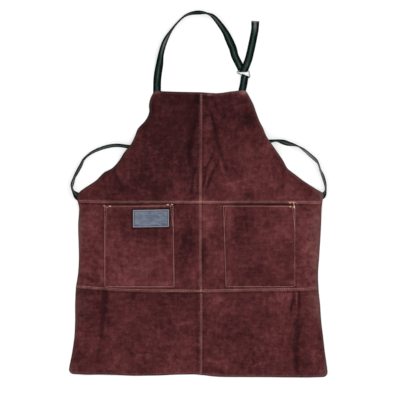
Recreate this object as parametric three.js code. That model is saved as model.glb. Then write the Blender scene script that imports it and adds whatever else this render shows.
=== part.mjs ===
// Suede work apron, laid flat with its outer face up.
// Millimetres. +X is the right of the apron as it is seen, +Y runs from hem to bib, +Z is up,
// and z = 0 is the surface that it lies on.
// Six leather panels are lapped like shingles and carry two patch pockets. Webbing straps lie
// round the bib: a neck strap folded through a wire ring, and a tie from each waist corner.

import * as THREE from "three";

// Driving dimensions
const leather = 1.6; // thickness of the suede
const webbing = 1.4; // thickness of the straps
const strapWidth = 19;
const tailFlare = 22; // width of the neck strap's cut end
const labelThickness = 0.8;
const wire = 3; // diameter of the ring's wire
const gap = 0.3; // clearance of straps, ring and label
const lapGap = 0.5; // clearance between two lapped layers of leather
const lap = 9; // overlap of two panels at a seam
const lapLevel = 2; // run past the covered edge before the upper panel comes down
const lapFall = 10; // run in which it comes down
const hemCorner = 14; // corner radius at the hem
const bibCorner = 8; // corner radius at the top of the bib
const pocketBulge = 8; // how far a pocket's front stands off at its mouth
const pocketFall = 14; // run in which a pocket comes down from the lower seam
const ringBend = 3.05; // bend radius of the ring's corners, on the wire's centre line
const foldAngle = THREE.MathUtils.degToRad(25); // slant of the neck strap on the ring

// Values worked out from them
const pitch = leather + lapGap; // height of one lapped layer
const seamStrip = lap + lapLevel + lapFall;
const lapRows = [0, lap, lap + lapLevel, seamStrip]; // grid lines beside an edge that laps over
const coveredRows = [0, lap]; // grid lines beside an edge that is lapped over
const freeEdgeRows = [0, 4, 10]; // grid lines beside an outer edge
const wrapRadius = wire / 2 + gap + webbing / 2;
const ringHeight = webbing + gap + wire / 2;
const wrapTop = ringHeight + wire / 2 + gap; // underside of a strap laid back over the ring
const up = new THREE.Vector3(0, 0, 1);

// Outline of the apron, a row for each height where the side edges bend
const sides = [
  { y: -492, left: -345, right: 343.5 },
  { y: -462, left: -343, right: 341 },
  { y: -420, left: -335, right: 335 },
  { y: -377, left: -329, right: 330 },
  { y: -335, left: -327, right: 325 },
  { y: -292, left: -327, right: 322 },
  { y: -250, left: -325, right: 318 },
  { y: -207, left: -319, right: 317 },
  { y: -165, left: -317, right: 320 },
  { y: -80, left: -319, right: 325 },
  { y: -38, left: -316, right: 326 },
  { y: -17, left: -320, right: 328 },
  { y: 1, left: -319, right: 330 },
  { y: 15, left: -303, right: 309 },
  { y: 36, left: -272, right: 277 },
  { y: 58, left: -249, right: 248 },
  { y: 68, left: -230, right: 236 },
  { y: 89, left: -210, right: 224 },
  { y: 110, left: -196, right: 209 },
  { y: 132, left: -178, right: 193 },
  { y: 153, left: -168, right: 179 },
  { y: 174, left: -160, right: 171 },
  { y: 195, left: -141, right: 161 },
  { y: 216, left: -131, right: 153 },
  { y: 238, left: -131, right: 145 },
  { y: 259, left: -125, right: 134 },
  { y: 280, left: -112, right: 122 },
];

// Lines across the apron, from the hem to the top edge of the bib
const hemLine = [
  { x: -345, y: -479 },
  { x: -200, y: -482 },
  { x: -50, y: -480 },
  { x: 10, y: -480.5 },
  { x: 50, y: -485 },
  { x: 343, y: -485.5 },
];
const lowerSeam = [
  { x: -325, y: -245.5 },
  { x: -250, y: -251 },
  { x: -181, y: -255 },
  { x: 5, y: -257 },
  { x: 163, y: -254 },
  { x: 270, y: -252.5 },
  { x: 320, y: -249 },
];
const waistSeam = [
  { x: -320, y: -18.5 },
  { x: -200, y: -21 },
  { x: 200, y: -21 },
  { x: 330, y: -22.5 },
];
const bibTop = [
  { x: -125, y: 275 },
  { x: -86, y: 272 },
  { x: 12, y: 269.5 },
  { x: 50, y: 267.5 },
  { x: 89, y: 272 },
  { x: 134, y: 276.5 },
];
const centreSeam = [
  { y: -490, x: 4.5 },
  { y: -255, x: 5.8 },
  { y: -20, x: 5.3 },
  { y: 280, x: 7.4 },
];

// Soft ridges where the leather stands off the surface: width is the spread of a bell curve
const folds = [
  { x0: -279, y0: -300, x1: -299, y1: -470, width: 20, height: 6 },
  { x0: -212, y0: -300, x1: -232, y1: -465, width: 24, height: 5 },
  { x0: 295, y0: -300, x1: 293, y1: -465, width: 20, height: 6 },
  { x0: 224, y0: -300, x1: 226, y1: -455, width: 24, height: 5 },
  { x0: -72, y0: 30, x1: -62, y1: 235, width: 26, height: 4 },
  { x0: 36, y0: 70, x1: 44, y1: 215, width: 20, height: 5 },
  { x0: -246, y0: 50, x1: -222, y1: 8, width: 18, height: 4 },
  { x0: 258, y0: 42, x1: 236, y1: 8, width: 18, height: 4 },
];

// Places where the leather rides over a strap: level for the reach, then down over the fall
const strapHumps = [
  { x0: -109, y0: 274, x1: -109, y1: 246, reach: 22, fall: 34, height: 1.9 },
  { x0: 116, y0: 276, x1: 114, y1: 248, reach: 22, fall: 38, height: 3.7 },
  { x0: -325, y0: -4, x1: -301, y1: -18, reach: 24, fall: 30, height: 5 },
  { x0: 334, y0: -4, x1: 310, y1: -18, reach: 24, fall: 30, height: 5 },
  { x0: -192, y0: 127, x1: -174, y1: 125, reach: 10, fall: 52, height: 18.2 },
  { x0: 204, y0: 140.5, x1: 184, y1: 137.5, reach: 10, fall: 52, height: 18.2 },
  { x0: -170, y0: 125, x1: -45, y1: 126, reach: 24, fall: 50, height: 2 },
  { x0: 180, y0: 137, x1: 55, y1: 132, reach: 24, fall: 50, height: 2 },
];

// Patch pockets, by the ends of the mouth and of the sewn foot, and the label on the left one
const pockets = [
  {
    name: "pocket_left",
    head: { y: -29.5, left: -250, right: -66 },
    foot: { y: -248, left: -250, right: -62.5 },
  },
  {
    name: "pocket_right",
    head: { y: -29.5, left: 64, right: 257 },
    foot: { y: -247, left: 71, right: 257 },
  },
];
const labelPlace = { left: -173.6, right: -77.6, head: -41, foot: -89 };

// Routes of the straps. Tilt is the lean of the width in degrees, with the lower edge on the
// surface, and low is the height of the underside where a strap rides over something.
const neckRoute = [
  { x: -109, y: 246, tilt: 0 },
  { x: -109, y: 264, tilt: 0 },
  { x: -109, y: 283, tilt: 0 },
  { x: -109, y: 302, tilt: 1 },
  { x: -107, y: 322, tilt: 8 },
  { x: -103, y: 344, tilt: 24 },
  { x: -100, y: 365, tilt: 44 },
  { x: -95, y: 386, tilt: 50 },
  { x: -87, y: 407, tilt: 57 },
  { x: -75, y: 429, tilt: 74 },
  { x: -59, y: 451, tilt: 82 },
  { x: -39, y: 470, tilt: 82 },
  { x: -20, y: 478.5, tilt: 70 },
  { x: 2, y: 481, tilt: 63 },
  { x: 23, y: 478, tilt: 82 },
  { x: 40, y: 469, tilt: 66 },
  { x: 57, y: 449, tilt: 50 },
  { x: 71, y: 428, tilt: 36 },
  { x: 81.5, y: 407, tilt: 18 },
  { x: 90.8, y: 386, tilt: 7 },
];
const tailRoute = [
  { x: 133.3, y: 360, low: 1.2 },
  { x: 139.5, y: 386, low: 0.2 },
  { x: 145.2, y: 413, low: 0 },
  { x: 149.3, y: 436, low: 0 },
  { x: 150.5, y: 459, low: 0, width: tailFlare },
];
const loopRoute = [
  { x: 113, y: 248 },
  { x: 113.6, y: 262 },
  { x: 116, y: 277 },
  { x: 119.3, y: 290 },
];
const leftTieRoute = [
  { x: -301, y: -18, tilt: 0 },
  { x: -311, y: -13, tilt: 0 },
  { x: -319, y: -7, tilt: 6 },
  { x: -325, y: 0, tilt: 42 },
  { x: -329.5, y: 7, tilt: 74 },
  { x: -333, y: 16, tilt: 84 },
  { x: -332, y: 27, tilt: 71 },
  { x: -327, y: 43.5, tilt: 80 },
  { x: -319.5, y: 59, tilt: 72 },
  { x: -310.5, y: 75.5, tilt: 74 },
  { x: -304, y: 89.5, tilt: 82 },
  { x: -295, y: 100, tilt: 77 },
  { x: -279, y: 111.3, tilt: 72 },
  { x: -257, y: 120.8, tilt: 67 },
  { x: -235, y: 126.8, tilt: 65 },
  { x: -216, y: 128.8, tilt: 65 },
  { x: -201, y: 127.6, tilt: 64 },
  { x: -189, y: 125.6, tilt: 62 },
  { x: -177, y: 124, tilt: 56 },
  { x: -165, y: 123.5, tilt: 43 },
  { x: -152, y: 124, tilt: 25 },
  { x: -139, y: 124.5, tilt: 8 },
  { x: -124, y: 125, tilt: 0 },
  { x: -92, y: 125, tilt: 0 },
  { x: -45, y: 126, tilt: 0 },
];
const rightTieRoute = [
  { x: 55, y: 132, tilt: 0 },
  { x: 95, y: 133, tilt: 0 },
  { x: 134, y: 134.4, tilt: 0 },
  { x: 149, y: 135.4, tilt: 8 },
  { x: 162, y: 136.4, tilt: 25 },
  { x: 175, y: 137.6, tilt: 45 },
  { x: 187, y: 139, tilt: 60 },
  { x: 200, y: 141, tilt: 73 },
  { x: 210, y: 141, tilt: 71 },
  { x: 224, y: 137.5, tilt: 51 },
  { x: 238, y: 133.2, tilt: 55 },
  { x: 252, y: 130, tilt: 72 },
  { x: 265, y: 125.5, tilt: 84 },
  { x: 279, y: 116.5, tilt: 74 },
  { x: 297, y: 101.2, tilt: 69 },
  { x: 310, y: 89.5, tilt: 71 },
  { x: 317, y: 79, tilt: 83 },
  { x: 321.7, y: 64, tilt: 82 },
  { x: 328, y: 49.5, tilt: 72 },
  { x: 334, y: 30, tilt: 74 },
  { x: 336, y: 16, tilt: 82 },
  { x: 335.8, y: 8, tilt: 74 },
  { x: 334, y: 0.5, tilt: 40 },
  { x: 328, y: -7, tilt: 8 },
  { x: 320, y: -12.5, tilt: 0 },
  { x: 310, y: -18, tilt: 0 },
];

// Ring lying flat: a bent wire round these three centres, in turn anticlockwise
const ringCorners = [
  new THREE.Vector2(105.8, 322.6),
  new THREE.Vector2(133, 311.6),
  new THREE.Vector2(130.6, 323.2),
];
const loopAlongBar = 19.2; // where the ring loop sits, from the left end of the lower bar

// Smooth value of one column of a table, read at a place along another
function readTable(rows, key, column, at) {
  const last = rows.length - 1;
  const place = THREE.MathUtils.clamp(at, rows[0][key], rows[last][key]);
  let i = 0;
  while (i < last - 1 && place > rows[i + 1][key]) i += 1;
  const slope = (k) => {
    const before = rows[Math.max(k - 1, 0)];
    const after = rows[Math.min(k + 1, last)];
    return (after[column] - before[column]) / (after[key] - before[key]);
  };
  const span = rows[i + 1][key] - rows[i][key];
  const t = (place - rows[i][key]) / span;
  const ease = t * t * (3 - 2 * t);
  const straight = THREE.MathUtils.lerp(rows[i][column], rows[i + 1][column], ease);
  return straight + span * t * (1 - t) * (slope(i) * (1 - t) - slope(i + 1) * t);
}

// Distance from a point to a row's segment
function segmentDistance(x, y, row) {
  const along = new THREE.Vector2(row.x1 - row.x0, row.y1 - row.y0);
  const from = new THREE.Vector2(x - row.x0, y - row.y0);
  const share = THREE.MathUtils.clamp(from.dot(along) / along.lengthSq(), 0, 1);
  return from.addScaledVector(along, -share).length();
}

// Height of the leather's lowest layer: humps over straps, blended, plus the folds
function bedHeight(x, y) {
  const sharpness = 4;
  let humps = 0;
  for (const row of strapHumps) {
    const past = segmentDistance(x, y, row) - row.reach;
    const rise = row.height * (1 - THREE.MathUtils.smoothstep(past, 0, row.fall));
    humps += rise ** sharpness;
  }
  let ridges = 0;
  for (const row of folds) {
    ridges += row.height * Math.exp(-((segmentDistance(x, y, row) / row.width) ** 2));
  }
  const still = 0.02; // lower than this the leather lies on the surface
  const height = humps ** (1 / sharpness) + ridges;
  return height < still ? 0 : height;
}

// Share of a lapped layer's rise, by distance from the upper panel's own edge
function lapShare(distance) {
  return THREE.MathUtils.clamp((seamStrip - distance) / lapFall, 0, 1);
}

// How far a round corner cuts in, by distance from the side edge
function cornerCut(distance, radius) {
  const inside = Math.max(radius - distance, 0);
  return radius - Math.sqrt(radius ** 2 - Math.min(inside, radius) ** 2);
}

function evenShares(count) {
  return Array.from({ length: count - 1 }, (_, i) => (i + 1) / count);
}

// Closed solid between a grid of underside points and the same grid raised by a thickness
function sheetGeometry(grid, thickness) {
  const rows = grid.length;
  const columns = grid[0].length;
  const low = grid.flat();
  const positions = [];
  for (const point of low) positions.push(point.x, point.y, point.z);
  for (const point of low) positions.push(point.x, point.y, point.z + thickness);
  const at = (r, c, layer) => layer * low.length + r * columns + c;
  const index = [];
  const quad = (a, b, c, d) => index.push(a, b, c, a, c, d);
  for (let r = 0; r < rows - 1; r += 1) {
    for (let c = 0; c < columns - 1; c += 1) {
      quad(at(r, c, 1), at(r, c + 1, 1), at(r + 1, c + 1, 1), at(r + 1, c, 1));
      quad(at(r, c, 0), at(r + 1, c, 0), at(r + 1, c + 1, 0), at(r, c + 1, 0));
    }
  }
  for (let c = 0; c < columns - 1; c += 1) {
    const e = rows - 1;
    quad(at(0, c, 0), at(0, c + 1, 0), at(0, c + 1, 1), at(0, c, 1));
    quad(at(e, c + 1, 0), at(e, c, 0), at(e, c, 1), at(e, c + 1, 1));
  }
  for (let r = 0; r < rows - 1; r += 1) {
    quad(at(r + 1, 0, 0), at(r, 0, 0), at(r, 0, 1), at(r + 1, 0, 1));
    const e = columns - 1;
    quad(at(r, e, 0), at(r + 1, e, 0), at(r + 1, e, 1), at(r, e, 1));
  }
  return indexedGeometry(positions, index);
}

function indexedGeometry(positions, index) {
  const geometry = new THREE.BufferGeometry();
  geometry.setAttribute("position", new THREE.Float32BufferAttribute(positions, 3));
  geometry.setIndex(index);
  geometry.computeVertexNormals();
  return geometry;
}

// Closed ribbon: each section has a centre, a unit vector across and its own width
function ribbonGeometry(sections) {
  const positions = [];
  for (const { centre, across, normal, width } of sections) {
    const corners = [[1, 1], [-1, 1], [-1, -1], [1, -1]];
    for (const [side, face] of corners) {
      const corner = centre.clone();
      corner.addScaledVector(across, (side * width) / 2);
      corner.addScaledVector(normal, (face * webbing) / 2);
      positions.push(...corner);
    }
  }
  const index = [];
  const quad = (a, b, c, d) => index.push(a, b, c, a, c, d);
  for (let s = 0; s < sections.length - 1; s += 1) {
    for (let k = 0; k < 4; k += 1) {
      const here = 4 * s + k;
      const next = 4 * s + ((k + 1) % 4);
      quad(here, next, next + 4, here + 4);
    }
  }
  const end = 4 * (sections.length - 1);
  quad(3, 2, 1, 0);
  quad(end, end + 1, end + 2, end + 3);
  return indexedGeometry(positions, index);
}

// Sections of a strap lying along a plan route, leaning by each row's tilt. A strap turned
// face down has its normal reversed, so that it carries on from a fold.
function routeSections(rows, { perRow = 3, faceDown = false } = {}) {
  const plan = new THREE.SplineCurve(rows.map((row) => new THREE.Vector2(row.x, row.y)));
  const count = (rows.length - 1) * perRow;
  const sections = [];
  for (let i = 0; i <= count; i += 1) {
    const k = Math.min(Math.floor(i / perRow), rows.length - 2);
    const share = i / perRow - k;
    const mix = (column, plain) =>
      THREE.MathUtils.lerp(rows[k][column] ?? plain, rows[k + 1][column] ?? plain, share);
    const tilt = THREE.MathUtils.degToRad(mix("tilt", 0));
    const skew = mix("skew", 0);
    const width = mix("width", strapWidth);
    const point = plan.getPoint(i / count);
    const ahead = plan.getTangent(i / count);
    const heading = new THREE.Vector3(ahead.x, ahead.y, 0);
    const left = new THREE.Vector3().crossVectors(up, heading).addScaledVector(heading, Math.tan(skew));
    const across = left.clone().multiplyScalar(Math.cos(tilt)).addScaledVector(up, Math.sin(tilt));
    const normal = left.clone().multiplyScalar(-Math.sin(tilt)).addScaledVector(up, Math.cos(tilt));
    const height = mix("low", 0) + (width * Math.sin(tilt) + webbing * Math.cos(tilt)) / 2;
    const turn = faceDown ? -1 : 1;
    across.multiplyScalar(turn);
    normal.multiplyScalar(turn);
    sections.push({ centre: new THREE.Vector3(point.x, point.y, height), across, normal, width });
  }
  return sections;
}

// Sections of a strap going half round a bar of the ring, from under it to over it. It passes
// the bar on the given side, and a slant carries it along the bar as it turns, with each
// section parallel to the bar.
function wrapSections({ bar, along, side, slant }) {
  const steps = 8;
  const sections = [];
  for (let i = 0; i <= steps; i += 1) {
    const turn = (Math.PI * i) / steps;
    const outward = up.clone().multiplyScalar(-Math.cos(turn)).addScaledVector(side, Math.sin(turn));
    const round = up.clone().multiplyScalar(Math.sin(turn)).addScaledVector(side, Math.cos(turn));
    const heading = round.multiplyScalar(Math.cos(slant)).addScaledVector(along, Math.sin(slant));
    const centre = bar.clone().addScaledVector(outward, wrapRadius);
    centre.addScaledVector(along, wrapRadius * Math.tan(slant) * (turn - Math.PI / 2));
    const normal = outward.negate();
    const square = new THREE.Vector3().crossVectors(normal, heading);
    const across = along.clone().multiplyScalar(Math.sign(square.dot(along)) / Math.cos(slant));
    sections.push({ centre, across, normal, heading, width: strapWidth });
  }
  return sections;
}

// Rows of a route that runs straight into or out of a section, each with its distance from it
function straightRows(section, rows) {
  return rows.map(({ distance, ...row }) => ({
    x: section.centre.x + section.heading.x * distance,
    y: section.centre.y + section.heading.y * distance,
    ...row,
  }));
}

// The ring's centre line: straight bars joined by bends
function ringCurve() {
  const outline = new THREE.Path();
  const count = ringCorners.length;
  const outwardAngle = (from, to) => Math.atan2(to.y - from.y, to.x - from.x) - Math.PI / 2;
  ringCorners.forEach((corner, i) => {
    const before = ringCorners[(i + count - 1) % count];
    const after = ringCorners[(i + 1) % count];
    const start = outwardAngle(before, corner);
    outline.absarc(corner.x, corner.y, ringBend, start, outwardAngle(corner, after), false);
  });
  outline.closePath();
  const spots = outline.getSpacedPoints(40).slice(0, -1);
  const points = spots.map((spot) => new THREE.Vector3(spot.x, spot.y, ringHeight));
  return new THREE.CatmullRomCurve3(points, true);
}

// One bar of the ring as a start on its centre line, a direction along it and the way inwards
function ringBar(from, to) {
  const flat = to.clone().sub(from).normalize();
  const along = new THREE.Vector3(flat.x, flat.y, 0);
  const inward = new THREE.Vector3(-flat.y, flat.x, 0);
  const start = new THREE.Vector3(from.x, from.y, ringHeight).addScaledVector(inward, -ringBend);
  return { start, along, inward, length: to.distanceTo(from) };
}

// Underside of a panel at one crossing of its grid lines. A column is a distance from the
// centre seam or a share of the way out; a row is a distance from foot or head, or a share.
function panelPoint(panel, column, row) {
  const { side, foot, head } = panel;
  let y = (foot(0) + head(0)) / 2;
  let x = 0;
  let footLine = 0;
  const settlingPasses = 6;
  for (let pass = 0; pass < settlingPasses; pass += 1) {
    const inner = readTable(centreSeam, "y", "x", y) - (side * lap) / 2;
    const outer = readTable(sides, "y", side < 0 ? "left" : "right", y);
    const strip = inner + side * seamStrip;
    x = column.seam === undefined ? strip + (outer - strip) * column.out : inner + side * column.seam;
    const fromSide = Math.abs(outer - x);
    footLine = foot(x) + (panel.footCorner ? cornerCut(fromSide, panel.footCorner) : 0);
    const headLine = head(x) - (panel.headCorner ? cornerCut(fromSide, panel.headCorner) : 0);
    const innerFoot = footLine + panel.footRows.at(-1);
    const innerHead = headLine - panel.headRows.at(-1);
    if (row.foot !== undefined) y = footLine + row.foot;
    else if (row.head !== undefined) y = headLine - row.head;
    else y = innerFoot + (innerHead - innerFoot) * row.up;
  }
  const fromSeam = Math.abs(x - readTable(centreSeam, "y", "x", y) + (side * lap) / 2);
  const overSeam = lapShare(fromSeam);
  const overFoot = panel.lapsFoot ? lapShare(y - footLine) : 0;
  const layers = overFoot * (1 + overSeam) + (side < 0 ? overSeam : 0);
  return new THREE.Vector3(x, y, bedHeight(x, y) + pitch * layers);
}

function panelGeometry(panel) {
  const sideShares = [0.967, 0.99, 1]; // closer at the side, for the round corners
  const outShares = [...evenShares(14), ...sideShares];
  const columns = [...lapRows.map((seam) => ({ seam })), ...outShares.map((out) => ({ out }))];
  const rows = [
    ...panel.footRows.map((foot) => ({ foot })),
    ...evenShares(panel.cells).map((share) => ({ up: share })),
    ...panel.headRows.toReversed().map((head) => ({ head })),
  ];
  const grid = rows.map((row) => columns.map((column) => panelPoint(panel, column, row)));
  if (panel.side < 0) grid.forEach((line) => line.reverse());
  return sheetGeometry(grid, leather);
}

// Left and right edge of a pocket at a height
function pocketEdges(pocket, y) {
  const { head, foot } = pocket;
  const share = (y - foot.y) / (head.y - foot.y);
  return {
    share,
    left: THREE.MathUtils.lerp(foot.left, head.left, share),
    right: THREE.MathUtils.lerp(foot.right, head.right, share),
  };
}

// Underside of a pocket's front: on the panel at its sewn edges, bulging towards the mouth
function pocketUnder(pocket, x, y) {
  const { share, left, right } = pocketEdges(pocket, y);
  const middle = (2 * (x - left)) / (right - left) - 1;
  const acrossBulge = 1 - middle ** 4;
  const upBulge = 1 - (1 - share) ** 4;
  const aboveFoot = y - (readTable(lowerSeam, "x", "y", x) - lap / 2);
  const fallStart = lap + 2 * lapLevel;
  const overSeam = THREE.MathUtils.clamp((fallStart + pocketFall - aboveFoot) / pocketFall, 0, 1);
  return bedHeight(x, y) + pitch * (1 + overSeam) + pocketBulge * acrossBulge * upBulge;
}

function pocketGeometry(pocket) {
  const height = pocket.head.y - pocket.foot.y;
  const footRows = [0, 6, 12, 18, 26]; // closer where the pocket comes down from the seam
  const upperHeight = height - footRows.at(-1);
  const upperRows = evenShares(8).map((share) => footRows.at(-1) + upperHeight * share);
  const rows = [...footRows, ...upperRows, height];
  const sewnStrip = 0.04; // share of the width beside each sewn side
  const columns = [0, sewnStrip, ...evenShares(10), 1 - sewnStrip, 1];
  const grid = rows.map((row) => {
    const y = pocket.foot.y + row;
    const { left, right } = pocketEdges(pocket, y);
    return columns.map((share) => {
      const x = left + (right - left) * share;
      return new THREE.Vector3(x, y, pocketUnder(pocket, x, y));
    });
  });
  return sheetGeometry(grid, leather);
}

// The label follows the front of the pocket that it is sewn to
function labelGeometry(pocket) {
  const { left, right, head, foot } = labelPlace;
  const rows = [0, ...evenShares(4), 1];
  const columns = [0, ...evenShares(7), 1];
  const grid = rows.map((rise) =>
    columns.map((over) => {
      const x = left + (right - left) * over;
      const y = foot + (head - foot) * rise;
      return new THREE.Vector3(x, y, pocketUnder(pocket, x, y) + leather + gap);
    }),
  );
  return sheetGeometry(grid, labelThickness);
}

function neckStrapGeometry() {
  const bar = ringBar(ringCorners[2], ringCorners[0]);
  const along = bar.along.clone().negate();
  const middle = bar.start.clone().addScaledVector(bar.along, bar.length / 2);
  const wrap = wrapSections({ bar: middle, along, side: bar.inward, slant: foldAngle });
  const legRows = straightRows(wrap[0], [
    { distance: -45 },
    { distance: -22 },
    { distance: 0, skew: foldAngle },
  ]);
  const tailRows = straightRows(wrap.at(-1), [
    { distance: 0, skew: -foldAngle, low: wrapTop },
    { distance: 14, low: 3.4 },
  ]);
  const tail = [...tailRows, ...tailRoute];
  return ribbonGeometry([
    ...routeSections([...neckRoute, ...legRows]).slice(0, -1),
    ...wrap,
    ...routeSections(tail, { faceDown: true }).slice(1),
  ]);
}

function ringLoopGeometry() {
  const bar = ringBar(ringCorners[0], ringCorners[1]);
  const middle = bar.start.clone().addScaledVector(bar.along, loopAlongBar);
  const wrap = wrapSections({ bar: middle, along: bar.along, side: bar.inward, slant: 0 });
  const under = [...loopRoute, ...straightRows(wrap[0], [{ distance: -8 }, { distance: 0 }])];
  const secondLayer = webbing + gap;
  const back = [
    ...straightRows(wrap.at(-1), [{ distance: 0, low: wrapTop }, { distance: 8, low: 3.9 }]),
    ...loopRoute.toReversed().map((row) => ({ ...row, low: secondLayer })),
  ];
  return ribbonGeometry([
    ...routeSections(under).slice(0, -1),
    ...wrap,
    ...routeSections(back, { faceDown: true }).slice(1),
  ]);
}

// Finishes
function suede(colour) {
  return new THREE.MeshStandardMaterial({ color: colour, roughness: 0.95, metalness: 0 });
}

function strapFinish() {
  return new THREE.MeshStandardMaterial({ color: 0x1a2420, roughness: 0.7, metalness: 0 });
}

function labelFinish() {
  return new THREE.MeshStandardMaterial({ color: 0x6e788c, roughness: 0.85, metalness: 0 });
}

function ringFinish() {
  return new THREE.MeshStandardMaterial({ color: 0xc4c6c8, roughness: 0.28, metalness: 1 });
}

// The three tiers of panels: foot and head lines, and the grid rows kept close to each
const lineAt = (rows, shift) => (x) => readTable(rows, "x", "y", x) + shift;
const tiers = [
  {
    name: "bib",
    colour: 0x4c2427,
    foot: lineAt(waistSeam, -lap / 2),
    head: lineAt(bibTop, 0),
    lapsFoot: true,
    headCorner: bibCorner,
    footRows: lapRows,
    headRows: freeEdgeRows,
    cells: 12,
  },
  {
    name: "middle",
    colour: 0x562a2c,
    foot: lineAt(lowerSeam, -lap / 2),
    head: lineAt(waistSeam, lap / 2),
    lapsFoot: true,
    footRows: lapRows,
    headRows: coveredRows,
    cells: 9,
  },
  {
    name: "lower",
    colour: 0x4e2628,
    foot: lineAt(hemLine, 0),
    head: lineAt(lowerSeam, lap / 2),
    lapsFoot: false,
    footCorner: hemCorner,
    footRows: freeEdgeRows,
    headRows: coveredRows,
    cells: 10,
  },
];

const apron = new THREE.Group();

function addPiece(name, geometry, material) {
  const mesh = new THREE.Mesh(geometry, material);
  mesh.name = name;
  apron.add(mesh);
}

for (const tier of tiers) {
  addPiece(`${tier.name}_left`, panelGeometry({ ...tier, side: -1 }), suede(tier.colour));
  addPiece(`${tier.name}_right`, panelGeometry({ ...tier, side: 1 }), suede(tier.colour));
}
for (const pocket of pockets) {
  addPiece(pocket.name, pocketGeometry(pocket), suede(0x5a2d2f));
}
addPiece("label", labelGeometry(pockets[0]), labelFinish());
addPiece("neck_strap", neckStrapGeometry(), strapFinish());
addPiece("ring_loop", ringLoopGeometry(), strapFinish());
addPiece("strap_ring", new THREE.TubeGeometry(ringCurve(), 44, wire / 2, 10, true), ringFinish());
addPiece("waist_tie_left", ribbonGeometry(routeSections(leftTieRoute)), strapFinish());
addPiece("waist_tie_right", ribbonGeometry(routeSections(rightTieRoute)), strapFinish());

export default apron;
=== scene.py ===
import bpy
import numpy as np
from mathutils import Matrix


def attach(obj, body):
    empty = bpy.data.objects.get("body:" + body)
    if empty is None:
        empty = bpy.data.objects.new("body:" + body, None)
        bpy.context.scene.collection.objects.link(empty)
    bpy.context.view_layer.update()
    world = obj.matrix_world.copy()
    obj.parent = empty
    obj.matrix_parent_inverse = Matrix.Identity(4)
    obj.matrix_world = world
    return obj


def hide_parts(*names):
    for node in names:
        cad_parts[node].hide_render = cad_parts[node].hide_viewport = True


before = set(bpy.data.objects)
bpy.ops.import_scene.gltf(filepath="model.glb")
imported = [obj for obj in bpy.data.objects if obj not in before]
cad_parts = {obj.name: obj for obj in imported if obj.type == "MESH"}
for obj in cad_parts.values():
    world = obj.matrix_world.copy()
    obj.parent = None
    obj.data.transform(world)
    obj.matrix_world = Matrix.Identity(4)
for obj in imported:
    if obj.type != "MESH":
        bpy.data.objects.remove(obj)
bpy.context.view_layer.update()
mm = 0.001
body = "root"
print("frame loaded with", len(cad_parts), "nodes")

# Camera straight above, with a long lens
viewpoint = {"middle": (3.9, -15.7), "height": 3400, "field": 1060, "sensor": 36, "farClip": 50}


def makeCamera():
    data = bpy.data.cameras.new("viewCamera")
    data.sensor_width = viewpoint["sensor"]
    data.lens = viewpoint["sensor"] * viewpoint["height"] / viewpoint["field"]
    data.clip_end = viewpoint["farClip"]
    camera = bpy.data.objects.new("viewCamera", data)
    bpy.context.scene.collection.objects.link(camera)
    camera.location = (*(mm * value for value in viewpoint["middle"]), mm * viewpoint["height"])
    bpy.context.scene.camera = camera


makeCamera()

# How the leather is cut and lapped
cut = {
    "leather": 1.6,  # thickness
    "lapGap": 0.5,  # clearance between two lapped layers
    "lap": 9,
    "lapLevel": 2,  # run past the covered edge before the upper panel comes down
    "lapFall": 10,  # run in which it comes down
}
pitch = cut["leather"] + cut["lapGap"]
halfLap = cut["lap"] / 2
seamStrip = cut["lap"] + cut["lapLevel"] + cut["lapFall"]

# Side edges: y, left, right
outline = [
    (-492, -345, 343.5), (-462, -343, 341), (-420, -335, 335), (-377, -329, 330), (-335, -327, 325),
    (-292, -327, 322), (-250, -325, 318), (-207, -319, 317), (-165, -317, 320), (-80, -319, 325),
    (-38, -316, 326), (-17, -320, 328), (1, -319, 330), (15, -303, 309), (36, -272, 277),
    (58, -249, 248), (68, -230, 236), (89, -210, 224), (110, -196, 209), (132, -178, 193),
    (153, -168, 179), (174, -160, 171), (195, -141, 161), (216, -131, 153), (238, -131, 145),
    (259, -125, 134), (280, -112, 122),
]
# Lines across: x, y
hemLine = [
    (-345, -476.8), (-325, -477.2), (-282, -478.5), (-240, -478.6), (-219, -479.3), (-198, -480.6),
    (-170, -481.6), (-134, -481.2), (-100, -480.6), (-70, -479), (-40, -478.3), (-7, -478.1),
    (14, -480.1), (36, -482.9), (57, -484.4), (90, -484.9), (190, -485.3), (265, -486),
    (300, -485.6), (343, -484.7),
]
lowerSeam = [(-325, -245.5), (-250, -251), (-181, -255), (5, -257), (163, -254), (270, -252.5), (320, -249)]
waistSeam = [(-320, -18.5), (-200, -21), (200, -21), (330, -22.5)]
bibTop = [(-125, 275), (-86, 272), (12, 269.5), (50, 267.5), (89, 272), (134, 276.5)]
# Seam down the middle: y, x
centreSeam = [(-490, 6.2), (-275, 7.5), (-255, 6.7), (-225, 5.7), (-20, 5.3), (280, 7.4)]

# Tiers of panels: lines at foot and head, shift of an edge that laps over or under, round corners,
# and the distances of the two rows of stitches from the edge that laps over
tiers = {
    "bib": {"foot": waistSeam, "footShift": -halfLap, "head": bibTop, "headShift": 0,
            "lapsFoot": True, "headUnder": False, "footCorner": 0, "headCorner": 8, "cells": (92, 84),
            "rows": (2.4, 6)},
    "middle": {"foot": lowerSeam, "footShift": -halfLap, "head": waistSeam, "headShift": halfLap,
               "lapsFoot": True, "headUnder": True, "footCorner": 0, "headCorner": 0, "cells": (92, 62),
               "rows": (4, 7.2)},
    "lower": {"foot": hemLine, "footShift": 0, "head": lowerSeam, "headShift": halfLap,
              "lapsFoot": False, "headUnder": True, "footCorner": 14, "headCorner": 0, "cells": (96, 62)},
}

# Where the leather stands off the surface: x0, y0, x1, y1, spread, height
folds = [
    (-279, -300, -299, -470, 20, 6), (-212, -300, -232, -465, 24, 5),
    (295, -300, 293, -465, 20, 6), (224, -300, 226, -455, 24, 5),
    (-72, 30, -62, 235, 26, 4), (36, 70, 44, 215, 20, 5),
    (-246, 50, -222, 8, 18, 4), (258, 42, 236, 8, 18, 4),
]
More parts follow.
